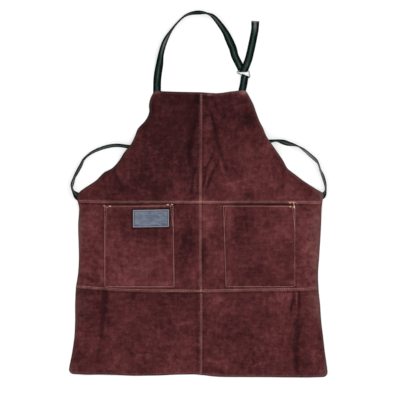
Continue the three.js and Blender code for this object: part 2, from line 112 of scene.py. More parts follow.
# Where it rides over a strap: x0, y0, x1, y1, level reach, fall, height
strapHumps = [
    (-109, 274, -109, 246, 22, 34, 1.9), (116, 276, 114, 248, 22, 38, 3.7),
    (-325, -4, -301, -18, 24, 30, 5), (334, -4, 310, -18, 24, 30, 5),
    (-192, 127, -174, 125, 10, 52, 18.2), (204, 140.5, 184, 137.5, 10, 52, 18.2),
    (-170, 125, -45, 126, 24, 50, 2), (180, 137, 55, 132, 24, 50, 2),
]
# Pressed and pulled lines in the top of the leather: x0, y0, x1, y1, spread, height
creases = [
    # bib, beside the middle seam
    (-4, 262, -5, 205, 7, -0.9), (-8, 205, -24, 118, 8, -0.8), (-26, 118, -22, 80, 6, -0.9),
    (-20, 74, -8, 57, 4, -0.6), (-12, 56, -20, 4, 3.5, -0.6), (-7, 50, -9, 12, 3, 0.5),
    (16, 207, 32, 211, 4, -0.7), (34, 209, 41, 184, 3.5, -0.9), (41, 184, 46, 152, 3.5, -1.0),
    (46, 152, 70, 72, 4, -0.7), (46, 236, 50, 218, 3, -0.6), (71, 209, 57, 190, 3.5, -0.6),
    (37, 103, 20, 68, 3.5, -0.8), (50, 106, 68, 58, 4, 0.6), (26, 92, 16, 74, 3, 0.5),
    (42, 68, 23, 21, 3.5, -0.9), (38, 70, 23, 54, 3, 0.6), (25, 50, 17, 12, 3, 0.5),
    (21, 63, 12, 22, 3, -0.6),
    # bib, towards the sides and the waist
    (77, 26, 144, 43, 5, 0.5), (-145, 16, -95, 16, 4, -0.4), (-226, 68, -202, 10, 5, -0.6),
    (240, 34, 206, 8, 5, -0.6), (126, 205, 140, 185, 12, -0.25),
    # middle panels
    (15, -122, 13, -214, 8, -0.5), (-318, -214, -270, -231, 4, -0.6), (-312, -226, -276, -240, 3, 0.4),
    # lower panels
    (-247, -258, -250, -308, 9, -1.0), (-250, -308, -257, -375, 5, -0.62),
    (-257, -375, -265, -414, 5, -0.5), (-265, -414, -269, -460, 7, -0.35),
    (-318, -262, -262, -264, 5, -0.5), (-3, -262, -3, -460, 5, -0.25),
    (266, -258, 266.5, -290, 3.5, -0.9), (266.5, -290, 262, -340, 4.5, -0.75),
    (262, -340, 258, -400, 7, -0.8), (258, -400, 260.5, -462, 8.5, -0.8),
    (256, -264, 245, -310, 3.5, -0.75), (272, -262, 280, -300, 3, -0.25),
    (-56, -346, -30, -340, 3, 0.5), (18, -441, 57, -446, 3.5, 0.6), (12, -460, 60, -470, 8, -0.4),
    (140, -460, 160, -448, 3, 0.5), (160, -448, 178, -446, 3, 0.5), (145, -377, 193, -404, 4, -0.4),
    (28, -300, 62, -276, 5, 0.5),
]

edgeSteps = np.array([0, 0.12, 0.4, 0.8, 1.3, 1.9, 2.6, 3.3, 4, 4.7, 5.4, 6.2, 7, 7.8, 8.7, 9.7,
                      10.8, 12, 13.4, 15, 17, 19, 21])  # distances of the lines beside an edge
flatBelow = 0.02  # a bed lower than this lies flat
settleRounds = 9  # rounds in which the lines of a panel settle


def curveThrough(rows, column, at):
    # a column of a table read at places in its first column: cubic pieces whose slope at each row
    # is that of the chord between the rows on both sides of it
    rows = np.asarray(rows, float)
    place, value = rows[:, 0], rows[:, column]
    at = np.clip(at, place[0], place[-1])
    before = np.maximum(np.arange(len(place)) - 1, 0)
    after = np.minimum(np.arange(len(place)) + 1, len(place) - 1)
    slope = (value[after] - value[before]) / (place[after] - place[before])
    i = np.clip(np.searchsorted(place, at, side="right") - 1, 0, len(place) - 2)
    span = place[i + 1] - place[i]
    t = (at - place[i]) / span
    straight = value[i] + (value[i + 1] - value[i]) * t * t * (3 - 2 * t)
    return straight + span * t * (1 - t) * (slope[i] * (1 - t) - slope[i + 1] * t)


def smoothStep(t):
    t = np.clip(t, 0, 1)
    return t * t * (3 - 2 * t)


def bell(distance, spread):
    return np.exp(-((distance / spread) ** 2))


def lineDistance(x, y, ends):
    # distance to the straight piece between two points
    x0, y0, x1, y1 = ends
    runX, runY = x1 - x0, y1 - y0
    along = np.clip(((x - x0) * runX + (y - y0) * runY) / (runX ** 2 + runY ** 2), 0, 1)
    return np.hypot(x - x0 - along * runX, y - y0 - along * runY)


def bedHeight(x, y):
    # humps are level for their reach and ease down over their fall, joined as the fourth root of the
    # sum of fourth powers; folds add bell curves
    humps = sum((height * (1 - smoothStep((lineDistance(x, y, ends) - reach) / fall))) ** 4
                for *ends, reach, fall, height in strapHumps)
    ridges = sum(height * bell(lineDistance(x, y, ends), spread) for *ends, spread, height in folds)
    bed = humps ** 0.25 + ridges
    return np.where(bed < flatBelow, 0, bed)


def footLine(tier, x):
    return curveThrough(tier["foot"], 1, x) + tier["footShift"]


def headLine(tier, x):
    return curveThrough(tier["head"], 1, x) + tier["headShift"]


def sideEdge(side, y):
    return curveThrough(outline, 1 if side < 0 else 2, y)


def seamEdge(side, y):
    # a panel's edge at the middle seam, half a lap past the seam's line
    return curveThrough(centreSeam, 1, y) - side * halfLap


def cornerCut(distance, radius):
    # how far a round corner cuts in: radius less the rise of a quarter circle
    return radius - np.sqrt(radius ** 2 - np.clip(radius - distance, 0, radius) ** 2)


def cornerDistance(a, b, radius):
    # distance to the nearer of two edges that meet in a round corner
    inCorner = (a < radius) & (b < radius)
    return np.where(inCorner, radius - np.hypot(radius - a, radius - b), np.minimum(a, b))


def roundShare(distance, radius):
    # share of the half thickness near an edge: a quarter circle out to the radius
    return np.sqrt(np.clip(1 - (1 - np.clip(distance / radius, 0, 1)) ** 2, 0, 1))


def crowdedLines(cells):
    # lines between two edges as an offset plus a share of the span: crowded at both edges, even between
    share = np.arange(1, cells) / cells
    offset = np.concatenate([edgeSteps, edgeSteps[-1] * (1 - 2 * share), -edgeSteps[::-1]])
    part = np.concatenate([0 * edgeSteps, share, 0 * edgeSteps + 1])
    return offset, part


def gridLines(cells):
    # offsets and shares of the columns, then of the rows
    return (*crowdedLines(cells[0]), *crowdedLines(cells[1]))


def panelGrid(tier, side):
    # columns run from the middle seam to the side and rows from foot to head; as the edges are
    # curved both ways, x and y are worked out in turn until they settle
    columnOffset, columnPart, rowOffset, rowPart = gridLines(tier["cells"])
    y = np.full((len(rowOffset), len(columnOffset)), (footLine(tier, 0) + headLine(tier, 0)) / 2)
    for settle in range(settleRounds):
        inner, outer = seamEdge(side, y), sideEdge(side, y)
        x = inner + side * (columnOffset + columnPart * np.abs(outer - inner))
        fromSide = np.abs(outer - x)
        low = footLine(tier, x) + cornerCut(fromSide, tier["footCorner"])
        high = headLine(tier, x) - cornerCut(fromSide, tier["headCorner"])
        y = low + rowOffset[:, None] + rowPart[:, None] * (high - low)
    return (x[:, ::-1], y[:, ::-1]) if side < 0 else (x, y)


# Turned hems and sewn rows in the leather
hem = {"raise": 1.0, "width": 9, "ease": 5, "round": 1.3, "cutRound": 0.5, "row": 5.2,
       "coverStart": 1, "coverEase": 8, "reliefFade": 1.5}
centreRows = (3.5, 6.4)  # distances of the two rows from the edge that laps over
groove = {"depth": 0.5, "spread": 0.9}
puckers = {"height": 0.22, "length": 11, "reach": 6, "beside": 3, "swell": 0.031, "start": 1.3}
lumpHeight = 0.16
# Lumps of soft leather, as products of two waves: share, then turn across, turn up and start of each wave
lumpWaves = [
    (1, 0.071, 0.043, 0.4, -0.023, 0.052, 1.1),
    (0.6, 0.137, -0.081, 2.2, 0.061, 0.118, 0),
    (0.4, 0.29, 0.17, 0, -0.13, 0.24, 0.7),
]
reliefRange = (-1.1, 1.0)  # deepest groove and highest ridge in the top of the leather


def lapShare(distance):
    # 1 over the covered layer, easing to 0 where the upper panel is down again
    return smoothStep((seamStrip - distance) / cut["lapFall"])


def sewnRelief(distance, rows, along):
    # a groove at each sewn row, and small puckers beside it that come and go along the row
    relief = sum(-groove["depth"] * bell(distance - row, groove["spread"]) for row in rows)
    swell = np.sin(puckers["swell"] * along + puckers["start"])
    wave = np.sin(2 * np.pi * along / puckers["length"]) * swell
    beside = bell(distance - rows[-1] - puckers["beside"], puckers["reach"])
    return relief + puckers["height"] * wave * beside


def handRelief(x, y):
    # slow uneven lumps of soft leather: a few crossing waves of unlike lengths
    waves = sum(share * np.sin(a * x + b * y + c) * np.sin(d * x + e * y + f)
                for share, a, b, c, d, e, f in lumpWaves)
    return lumpHeight * waves


def lineRelief(x, y, rows):
    # the highest ridge and the deepest groove of all bell curves, so that runs join evenly
    heights = np.array([height * bell(lineDistance(x, y, ends), spread) for *ends, spread, height in rows])
    return np.maximum(heights.max(0), 0) + np.minimum(heights.min(0), 0)


def panelDistances(tier, side, x, y):
    # how far a place is from the panel's edge at the middle seam, its foot, its head and its outer hem
    seamD = side * (x - seamEdge(side, y))
    footD = y - footLine(tier, x)
    headD = headLine(tier, x) - y
    slope = (sideEdge(side, y + 1) - sideEdge(side, y - 1)) / 2
    hemD = side * (sideEdge(side, y) - x) / np.hypot(1, slope)
    if tier["footCorner"]:
        hemD = cornerDistance(hemD, footD, tier["footCorner"])
    if tier["headCorner"]:
        hemD = cornerDistance(hemD, headD, tier["headCorner"])
    return seamD, footD, headD, hemD


def panelHeights(tier, side, x, y):
    # underside: bed plus one layer for each lap; thickness: leather plus the turned hem, rounded at
    # the edges; top: grooves, puckers, lumps and creases added
    seamD, footD, headD, hemD = panelDistances(tier, side, x, y)
    overSeam = lapShare(seamD)
    overFoot = lapShare(footD) if tier["lapsFoot"] else 0 * footD
    layers = overFoot * (1 + overSeam) + (overSeam if side < 0 else 0)
    under = bedHeight(x, y) + pitch * layers

    covered = 0 * headD
    if tier["headUnder"]:
        covered = 1 - smoothStep((headD - cut["lap"] - hem["coverStart"]) / hem["coverEase"])
    turned = 1 - smoothStep((hemD - hem["width"]) / hem["ease"])
    thick = cut["leather"] + hem["raise"] * turned * (1 - covered)
    share = roundShare(hemD, hem["round"]) * roundShare(seamD, hem["cutRound"])
    relief = handRelief(x, y) + lineRelief(x, y, creases) + sewnRelief(hemD, (hem["row"],), x + y)
    if side < 0:
        relief = relief + sewnRelief(seamD, centreRows, y)
    if tier["lapsFoot"]:
        share = share * roundShare(footD, hem["cutRound"])
        relief = relief + sewnRelief(footD, tier["rows"], x)
    if tier["headUnder"]:
        share = share * roundShare(headD, hem["cutRound"])
    relief = np.clip(relief, *reliefRange) * (1 - covered) * (1 - bell(hemD, hem["reliefFade"]))
    middle = under + thick / 2
    return middle - share * thick / 2, middle + share * thick / 2 + share * relief


def linkPiece(name, mesh):
    piece = bpy.data.objects.new(name, mesh)
    bpy.context.scene.collection.objects.link(piece)
    return piece


def fillMesh(name, points, quads, triangles=None):
    # faces from whole arrays of corner numbers
    mesh = bpy.data.meshes.new(name)
    loops = [quads.ravel()]
    sizes = [np.full(len(quads), 4)]
    if triangles is not None:
        loops.append(triangles.ravel())
        sizes.append(np.full(len(triangles), 3))
    loops, sizes = np.concatenate(loops), np.concatenate(sizes)
    mesh.vertices.add(len(points))
    mesh.vertices.foreach_set("co", (points * mm).astype(np.float32).ravel())
    mesh.loops.add(len(loops))
    mesh.loops.foreach_set("vertex_index", loops.astype(np.int32))
    mesh.polygons.add(len(sizes))
    mesh.polygons.foreach_set("loop_start", np.concatenate([[0], np.cumsum(sizes)[:-1]]).astype(np.int32))
    mesh.polygons.foreach_set("use_smooth", np.ones(len(sizes), bool))
    mesh.update(calc_edges=True)
    mesh.validate()
    return mesh


def setAttribute(mesh, name, values):
    layer = mesh.attributes.new(name, "FLOAT", "POINT")
    layer.data.foreach_set("value", values.astype(np.float32).ravel())


def shellMesh(name, x, y, bottom, top, marks):
    # two grids that share their border vertices, so the shell is closed; marks are values for each
    # crossing, kept on both faces
    rows, columns = x.shape
    upper = np.arange(rows * columns).reshape(rows, columns)
    lower = upper.copy()
    inside = (slice(1, -1), slice(1, -1))
    lower[inside] = rows * columns + np.arange(lower[inside].size).reshape(lower[inside].shape)
    points = np.concatenate([
        np.stack([x, y, top], -1).reshape(-1, 3),
        np.stack([x[inside], y[inside], bottom[inside]], -1).reshape(-1, 3),
    ])

    def quads(index):
        corners = [index[:-1, :-1], index[:-1, 1:], index[1:, 1:], index[1:, :-1]]
        return np.stack([corner.ravel() for corner in corners], -1)

    mesh = fillMesh(name, points, np.concatenate([quads(upper), quads(lower)[:, ::-1]]))
    for mark, values in marks.items():
        setAttribute(mesh, mark, np.concatenate([values.ravel(), values[inside].ravel()]))
    return mesh


# Lie of the nap, lighter above 0 and darker below: x, y, reach across, reach up, amount
napPatches = [
    # bib
    (-80, 158, 112, 135, -0.36), (-120, 14, 150, 30, -0.18), (-58, 8, 24, 20, 0.22),
    (-115, 120, 30, 30, 0.1), (22, 172, 9, 28, 0.25), (24, 110, 13, 40, 0.3), (18, 5, 14, 18, 0.2),
    (90, 205, 34, 45, -0.25), (126, 200, 18, 18, -0.2), (158, 98, 45, 45, 0.3), (183, 124, 14, 14, 0.3),
    (120, 20, 130, 30, 0.3), (130, -3, 12, 6, -0.5), (-112, 268, 14, 8, 0.5), (120, 268, 14, 8, 0.5),
    (29, 263, 5, 3, 0.7), (0, 252, 140, 16, -0.16), (238, 22, 15, 14, 0.35), (68, 92, 10, 22, 0.35),
    (-24, 226, 12, 28, -0.35), (-64, 84, 14, 16, 0.3), (-138, 100, 14, 14, -0.3),
    (148, 92, 14, 14, -0.3), (198, 142, 10, 10, 0.3), (-276, 2, 16, 10, -0.3),
    (-128, 221, 10, 14, -0.3), (-55, -9, 45, 11, 0.25), (240, -9, 75, 11, 0.24), (265, -14, 12, 8, 0.2),
    (-260, 47, 14, 12, -0.3), (-191, 120, 8, 24, 0.35), (-156, 158, 10, 14, 0.3),
    # middle; its three thin dark rows at y -27 are painted shade in the gaps between the bib's lap and the
    # pocket mouths
    (-285, -120, 30, 110, 0.2), (-28, -130, 30, 110, -0.14), (-30, -125, 22, 40, -0.15),
    (30, -75, 16, 40, 0.3), (-14, -215, 16, 20, 0.35), (-8, -62, 14, 26, 0.2), (18, -67, 14, 28, 0.25),
    (0, -21, 60, 6, 0.25), (305, -22, 22, 6, 0.25), (-140, -21, 50, 6, -0.15), (40, -190, 16, 40, 0.15),
    (292, -140, 36, 120, 0.33), (270, -60, 40, 30, 0.1), (-110, -27, 50, 2.6, -0.8),
    (-215, -27, 45, 2.6, -0.1), (165, -27.4, 82, 2.8, -0.6), (60, -192, 10, 28, 0.35),
    (-256, -215, 7, 36, 0.4), (322, -50, 10, 26, 0.3), (257, -21, 16, 6, 0.35),
    (-324, -12, 10, 10, 0.25), (267, -242, 10, 12, 0.3), (-56, -78, 10, 16, 0.3), (58, -33, 10, 8, 0.3),
    # lower
    (-305, -272, 30, 22, -0.3), (-180, -330, 50, 60, 0.05), (-112, -272, 62, 18, -0.4),
    (-60, -430, 80, 45, 0.15), (-210, -430, 40, 40, 0.15), (45, -292, 30, 26, 0.25),
    (120, -380, 50, 70, -0.1), (200, -420, 60, 40, 0.1), (310, -420, 20, 60, 0.2),
    (160, -280, 60, 20, 0.1), (215, -285, 16, 30, 0.25), (232, -268, 30, 14, 0.5),
    (326, -390, 16, 45, -0.22), (285, -448, 22, 14, -0.45), (286, -476, 26, 8, -0.3),
    (-58, -460, 44, 22, 0.28), (-180, -425, 16, 14, -0.3), (-125, -274, 62, 16, 0.28),
    (-285, -269, 35, 10, 0.25), (82, -457, 14, 12, 0.3), (32, -234, 10, 14, -0.28),
]
# Painted shade along lines, dark along the bib's left slope and in the creases of the lower right panel,
# pale on one ridge between them: x0, y0, x1, y1, spread, amount
paintedShadeLines = [
    (-131, 240, -133, 205, 8, -0.8), (-133, 205, -165, 165, 7, -0.6), (-165, 165, -205, 98, 6, -0.45),
    (-205, 98, -250, 57, 7, -0.6), (266, -258, 266.5, -292, 3, -0.35),
    (252, -262, 244, -302, 3.5, -0.25), (259.5, -262, 259.5, -292, 2, 0.35),
]
pocketPatches = [
    (-200, -190, 40, 60, 0.23), (-110, -195, 42, 45, 0.13), (-206, -62, 34, 28, -0.25),
    (-120, -105, 50, 14, -0.25), (-120, -66, 62, 38, -0.22), (-190, -235, 40, 10, 0.3),
    (-80, -240, 24, 10, 0.4), (-153, -150, 20, 18, -0.15), (112, -75, 30, 36, -0.22),
    (150, -208, 24, 20, -0.05), (220, -90, 34, 45, 0.3), (82, -70, 10, 40, 0.35),
    (90, -190, 18, 40, 0.1), (190, -150, 40, 40, 0.1), (245, -200, 6, 30, -0.1),
    (140, -140, 40, 30, -0.1), (80, -222, 13, 24, 0.42), (248, -238, 12, 12, 0.35),
    (-103, -97, 14, 12, 0.3), (-207, -216, 14, 14, 0.3), (228, -38, 20, 8, 0.3),
    (143, -226, 14, 14, -0.25), (250, -190, 8, 30, 0.25),
]
# Worn pale: x, y, reach across, reach up, amount
rubSpots = [
    (-113, 272, 9, 5, 0.3), (122, 271, 9, 6, 0.7), (29, 264, 6, 3, 0.4), (326, -6, 6, 10, 0.25),
    (318, -150, 22, 110, 0.14), (-318, -95, 14, 50, 0.12), (-322, -290, 22, 40, 0.06),
    (318, -290, 14, 40, 0.12), (331, -470, 12, 16, 0.07), (-326, -6, 7, 10, 0.22), (320, 8, 8, 8, 0.15),
    (-338, -470, 14, 14, 0.1),
]


def napLie(x, y, patches):
    # each patch is a bell curve in both directions
    return sum(amount * bell(x - middleX, across) * bell(y - middleY, along)
               for middleX, middleY, across, along, amount in patches)


# Further shade of the panels: rubbed strips over the seams, painted shadow under the laps, and painted
# shade in creases with painted highlight on ridges by their height
panelLook = {
    "strip": 0.08, "stripWidth": 8, "stripEase": 3, "rub": 0.05,
    "paintedShadow": -0.15, "paintedShadowReach": 3, "paintedCreaseShade": 0.5, "rimReach": 4.6,
}
# Tint, painted edge shade and rubbed rim of each panel
panelTints = {
    "bib_left": (-0.15, 0.65, 0), "bib_right": (-0.18, 0.5, 0.16),
    "middle_left": (-0.08, 0.5, 0.12), "middle_right": (-0.06, 0.5, 0.12),
    "lower_left": (-0.16, 0.36, 0.06), "lower_right": (-0.1, 0.46, 0.12),
}


def stripShare(distance):
    # 1 in the rubbed strip over a seam, easing to 0 beside it
    return 1 - smoothStep((distance - panelLook["stripWidth"]) / panelLook["stripEase"])


def panelShade(tier, side, x, y):
    # the nap's lie and the further shade, with its painted shade and painted shadow, added up, then how far
    # it is rubbed pale
    seamD, footD, headD, hemD = panelDistances(tier, side, x, y)
    shade = napLie(x, y, napPatches) + lineRelief(x, y, paintedShadeLines)
    # painted shade in the grooves of the creases and painted highlight on their ridges
    shade = shade + panelLook["paintedCreaseShade"] * lineRelief(x, y, creases)
    strip = 0 * x
    if side < 0:
        strip = stripShare(seamD)
    if tier["lapsFoot"]:
        strip = np.maximum(strip, stripShare(footD))
    # painted shadow on the covered panel just below the edge of the panel that laps over it
    if tier["headUnder"]:
        shade = shade + panelLook["paintedShadow"] * bell(headD - cut["lap"], panelLook["paintedShadowReach"])
    return shade + panelLook["strip"] * strip, panelLook["rub"] * strip + napLie(x, y, rubSpots), hemD


# Patch pockets, with the ends of mouth and foot as y, left, right, and the mouth's rise to the right
pocketCut = {
    "pocket_left": {"head": (-29.8, -250, -66), "foot": (-247.3, -250, -62.5), "tilt": 3.2, "tint": -0.02},
    "pocket_right": {"head": (-27.9, 64, 257), "foot": (-247, 71, 257), "tilt": -1.2, "tint": -0.12},
}
pocketShape = {"cells": (50, 56), "bulge": 8, "fall": 14, "sideRound": 0.8, "lumpShift": (40, -25),
               "mouthRaise": 0.9, "mouthWidth": 9, "mouthEase": 4, "mouthRow": 4.2, "footRow": 2,
               "sideRow": 2, "innerRow": 8.6, "innerLength": 66, "innerEase": 12,
               # the first pair sets a painted shadow in a band round the label; rim sets painted shade at
               # the pocket's edges and rub the wear there
               "paintedShadow": -1.2, "paintedShadowReach": 2.6, "edgeReach": 4, "rub": 0.06, "rim": 0.1}

# Woven label, left bare
labelCloth = {"left": -173, "right": -78.2, "head": -42.2, "foot": -88.2, "tilt": 1.7, "gap": 0.3,
              "thickness": 0.8, "border": 1.9, "borderRaise": 0.25, "borderEase": 0.8, "markEase": 0.6,
              "inner": 3.4, "lineReach": 0.8, "round": 0.4, "row": 1.6, "cells": (84, 40)}


def labelRise(x):
    # rise of the slanted label, in proportion to the way across it
    return labelCloth["tilt"] * (x - labelCloth["left"]) / (labelCloth["right"] - labelCloth["left"])


def labelEdge(x, y):
    # distance inwards from the label's edge, below 0 outside it
    y = y - labelRise(x)
    return np.minimum(np.minimum(x - labelCloth["left"], labelCloth["right"] - x),
                      np.minimum(y - labelCloth["foot"], labelCloth["head"] - y))


def pocketShare(pocket, y):
    # 0 at the foot and 1 at the mouth
    return (y - pocket["foot"][0]) / (pocket["head"][0] - pocket["foot"][0])


def pocketEdges(pocket, y):
    # left and right edge, straight from foot to mouth
    head, foot, share = pocket["head"], pocket["foot"], pocketShare(pocket, y)
    return [foot[k] + (head[k] - foot[k]) * share for k in (1, 2)]


def pocketMouth(pocket, x):
    # the mouth's straight line, rising to the right by its tilt
    head = pocket["head"]
    return head[0] + pocket["tilt"] * (x - head[1]) / (head[2] - head[1])


def innerRowAt(headD):
    # the short second row beside a side row, running into it below the mouth
    reach = np.clip(1 - headD / pocketShape["innerLength"], 0, 1)
    return pocketShape["sideRow"] + (pocketShape["innerRow"] - pocketShape["sideRow"]) * reach


def pocketUnder(pocket, x, y):
    # on the panel at the sewn edges, bulging as one less a fourth power across and up to the mouth,
    # and one layer higher where the foot rides over the lower seam
    left, right = pocketEdges(pocket, y)
    across = 1 - np.clip(2 * (x - left) / (right - left) - 1, -1, 1) ** 4
    rise = 1 - np.clip(1 - pocketShare(pocket, y), 0, 1) ** 4
    aboveFoot = y - curveThrough(lowerSeam, 1, x) + halfLap
    fallStart = cut["lap"] + 2 * cut["lapLevel"]
    overSeam = smoothStep((fallStart + pocketShape["fall"] - aboveFoot) / pocketShape["fall"])
    return bedHeight(x, y) + pitch * (1 + overSeam) + pocketShape["bulge"] * across * rise


def pocketGrid(pocket):
    # crowded lines both ways; the rows slant more and more up to the mouth
    columnOffset, columnPart, rowOffset, rowPart = gridLines(pocketShape["cells"])
    low, high = pocket["foot"][0], pocket["head"][0]
    level = np.repeat((low + rowOffset + rowPart * (high - low))[:, None], len(columnOffset), 1)
    left, right = pocketEdges(pocket, level)
    x = left + columnOffset + columnPart * (right - left)
    return x, level + rowPart[:, None] * (pocketMouth(pocket, x) - high)


def pocketHeights(pocket, x, y):
    # as a panel's: turned mouth, rounded edges, and a groove along each sewn row
    left, right = pocketEdges(pocket, y)
    sideD = np.minimum(x - left, right - x)
    headD, footD = pocketMouth(pocket, x) - y, y - pocket["foot"][0]
    edgeD = np.minimum(np.minimum(sideD, headD), footD)
    turned = 1 - smoothStep((headD - pocketShape["mouthWidth"]) / pocketShape["mouthEase"])
    thick = cut["leather"] + pocketShape["mouthRaise"] * turned
    rounded = roundShare(sideD, pocketShape["sideRound"]) * roundShare(footD, pocketShape["sideRound"])
    rounded = rounded * roundShare(headD, hem["round"])
    inner = smoothStep((pocketShape["innerLength"] - headD) / pocketShape["innerEase"])
    shiftX, shiftY = pocketShape["lumpShift"]
    relief = handRelief(x + shiftX, y + shiftY) + sewnRelief(sideD, (pocketShape["sideRow"],), y)
    relief = relief + inner * sewnRelief(sideD - innerRowAt(headD), (0,), y)
    relief = relief + sewnRelief(headD, (pocketShape["mouthRow"],), x)
    relief = relief + sewnRelief(footD, (pocketShape["footRow"],), x)
    middle = pocketUnder(pocket, x, y) + thick / 2
    relief = relief * (1 - bell(edgeD, hem["reliefFade"]))
    return middle - rounded * thick / 2, middle + rounded * (thick / 2 + relief), edgeD


# Materials: small helpers for nodes
def shaderNode(tree, kind, inputs=None, **settings):
    node = tree.nodes.new(kind)
    for name, value in settings.items():
        setattr(node, name, value)
    for name, value in (inputs or {}).items():
        if isinstance(value, bpy.types.NodeSocket):
            tree.links.new(value, node.inputs[name])
        else:
            node.inputs[name].default_value = value
    return node


def mathNode(tree, operation, first, second):
    return shaderNode(tree, "ShaderNodeMath", {0: first, 1: second}, operation=operation).outputs[0]


def plus(tree, first, second):
    return mathNode(tree, "ADD", first, second)


def times(tree, first, second):
    return mathNode(tree, "MULTIPLY", first, second)


def swing(tree, value, amount):
    # a value round 0.5 as one round 0, times an amount
    return times(tree, mathNode(tree, "SUBTRACT", value, 0.5), amount)


def attributeNode(tree, name):
    return shaderNode(tree, "ShaderNodeAttribute", attribute_name=name).outputs["Fac"]


def objectPlace(tree):
    return shaderNode(tree, "ShaderNodeTexCoord").outputs["Object"]


def noiseNode(tree, vector, scale, detail=3.0, roughness=0.55, distortion=0.0):
    values = {"Vector": vector, "Scale": scale, "Detail": detail, "Roughness": roughness,
              "Distortion": distortion}
    return shaderNode(tree, "ShaderNodeTexNoise", values).outputs["Fac"]


def stretched(tree, vector, scale, turn=0.0):
    values = {"Vector": vector, "Scale": scale, "Rotation": (0, 0, turn)}
    return shaderNode(tree, "ShaderNodeMapping", values).outputs["Vector"]


def rampNode(tree, factor, stops):
    ramp = shaderNode(tree, "ShaderNodeValToRGB", {"Fac": factor})
    elements = ramp.color_ramp.elements
    while len(elements) < len(stops):
        elements.new(0.5)
    for element, (position, colour) in zip(elements, stops):
        element.position = position
        element.color = (*colour, 1)
    return ramp.outputs["Color"]


def mixNode(tree, factor, first, second):
    # from a colour that varies to one plain colour, by a factor
    mixed = shaderNode(tree, "ShaderNodeMix", data_type="RGBA")
    factorSocket, firstSocket, secondSocket = (mixed.inputs[k] for k in (0, 6, 7))
    tree.links.new(factor, factorSocket)
    tree.links.new(first, firstSocket)
    secondSocket.default_value = (*second, 1)
    return mixed.outputs[2]


def newGroup(name, inputs, outputs):
    group = bpy.data.node_groups.new(name, "ShaderNodeTree")
    for socket, kind in inputs:
        group.interface.new_socket(socket, in_out="INPUT", socket_type=kind)
    for socket, kind in outputs:
        group.interface.new_socket(socket, in_out="OUTPUT", socket_type=kind)
    return group, group.nodes.new("NodeGroupInput"), group.nodes.new("NodeGroupOutput")


def newMaterial(name):
    material = bpy.data.materials.new(name)
    material.use_nodes = True
    tree = material.node_tree
    tree.nodes.clear()
    shader = tree.nodes.new("ShaderNodeBsdfPrincipled")
    output = tree.nodes.new("ShaderNodeOutputMaterial")
    tree.links.new(shader.outputs[0], output.inputs[0])
    return material, tree, shader


def addBump(tree, shader, height, look):
    values = {"Height": height, "Strength": look["bump"], "Distance": look["bumpDepth"]}
    bump = shaderNode(tree, "ShaderNodeBump", values)
    tree.links.new(bump.outputs[0], shader.inputs["Normal"])


def setSurface(shader, look):
    for name, value in look["surface"].items():
        shader.inputs[name].default_value = value


fibreNoise = {"fine": (2.0, 0.7), "coarse": (4.0, 0.6), "coarseScale": 0.27}  # detail and roughness


def makeFibreGroup():
    # short fibres: fine noise over coarser noise, as a height and as a shade round 0.5
    group, entry, results = newGroup(
        "shortFibres",
        [("Vector", "NodeSocketVector"), ("Scale", "NodeSocketFloat")],
        [("Height", "NodeSocketFloat"), ("Shade", "NodeSocketFloat")],
    )
    vector, scale = entry.outputs["Vector"], entry.outputs["Scale"]
    fine = noiseNode(group, vector, scale, *fibreNoise["fine"])
    coarseScale = times(group, scale, fibreNoise["coarseScale"])
    coarse = noiseNode(group, vector, coarseScale, *fibreNoise["coarse"])
    both = times(group, plus(group, fine, coarse), 0.5)
    group.links.new(both, results.inputs["Height"])
    group.links.new(coarse, results.inputs["Shade"])
    return group


def makeWeaveGroup():
    # plain weave: half the product of two crossed sine waves, plus a half
    group, entry, results = newGroup(
        "plainWeave",
        [("Vector", "NodeSocketVector"), ("Along", "NodeSocketFloat"), ("Across", "NodeSocketFloat")],
        [("Height", "NodeSocketFloat")],
    )
    parts = shaderNode(group, "ShaderNodeSeparateXYZ", {0: entry.outputs["Vector"]})

    def wave(axis, count):
        turn = times(group, times(group, parts.outputs[axis], count), 2 * np.pi)
        return mathNode(group, "SINE", turn, 0.0)

    crossed = times(group, wave("X", entry.outputs["Along"]), wave("Y", entry.outputs["Across"]))
    group.links.new(plus(group, times(group, crossed, 0.5), 0.5), results.inputs["Height"])
    return group


fibreGroup = makeFibreGroup()
weaveGroup = makeWeaveGroup()


def groupNode(tree, group, inputs):
    return shaderNode(tree, "ShaderNodeGroup", inputs, node_tree=group)


suedeLook = {
    "stops": [
        (0.00, (0.0070, 0.0018, 0.0020)), (0.16, (0.0190, 0.0042, 0.0050)),
        (0.33, (0.0355, 0.0080, 0.0094)), (0.50, (0.0802, 0.0185, 0.0203)),
        (0.73, (0.1441, 0.0395, 0.0423)), (0.97, (0.2307, 0.0844, 0.0802)),
    ],
    # the first colour is painted shade at the rolled edges; the second is the pale of rubbed wear, dust and
    # painted sheen, mixed in by the blotches at the share after it
    "rim": (0.034, 0.024, 0.021), "wearDustAndSheenColour": (0.300, 0.190, 0.165), "dustAndSheen": 0.2,
    "napShare": 0.42, "uneven": 1.6, "grainShare": 0.285, "fibreScale": 950.0, "layerRoughness": 0.62,
    # mottling: features for each metre across and up, turn, detail, distortion, share
    "layers": [
        ((17, 17, 17), 0.0, 4.0, 0.0, 0.40), ((80, 80, 80), 0.6, 4.0, 0.35, 0.40),
        ((24, 120, 40), 0.05, 3.0, 0.3, 0.25), ((110, 24, 40), 0.12, 3.0, 0.3, 0.22),
    ],
    "bump": 0.35, "bumpDepth": 0.0009,
    "surface": {"Roughness": 0.95, "Specular IOR Level": 0.04, "Sheen Weight": 0.06, "Sheen Roughness": 0.4,
                "Sheen Tint": (0.8, 0.4, 0.38, 1)},
}


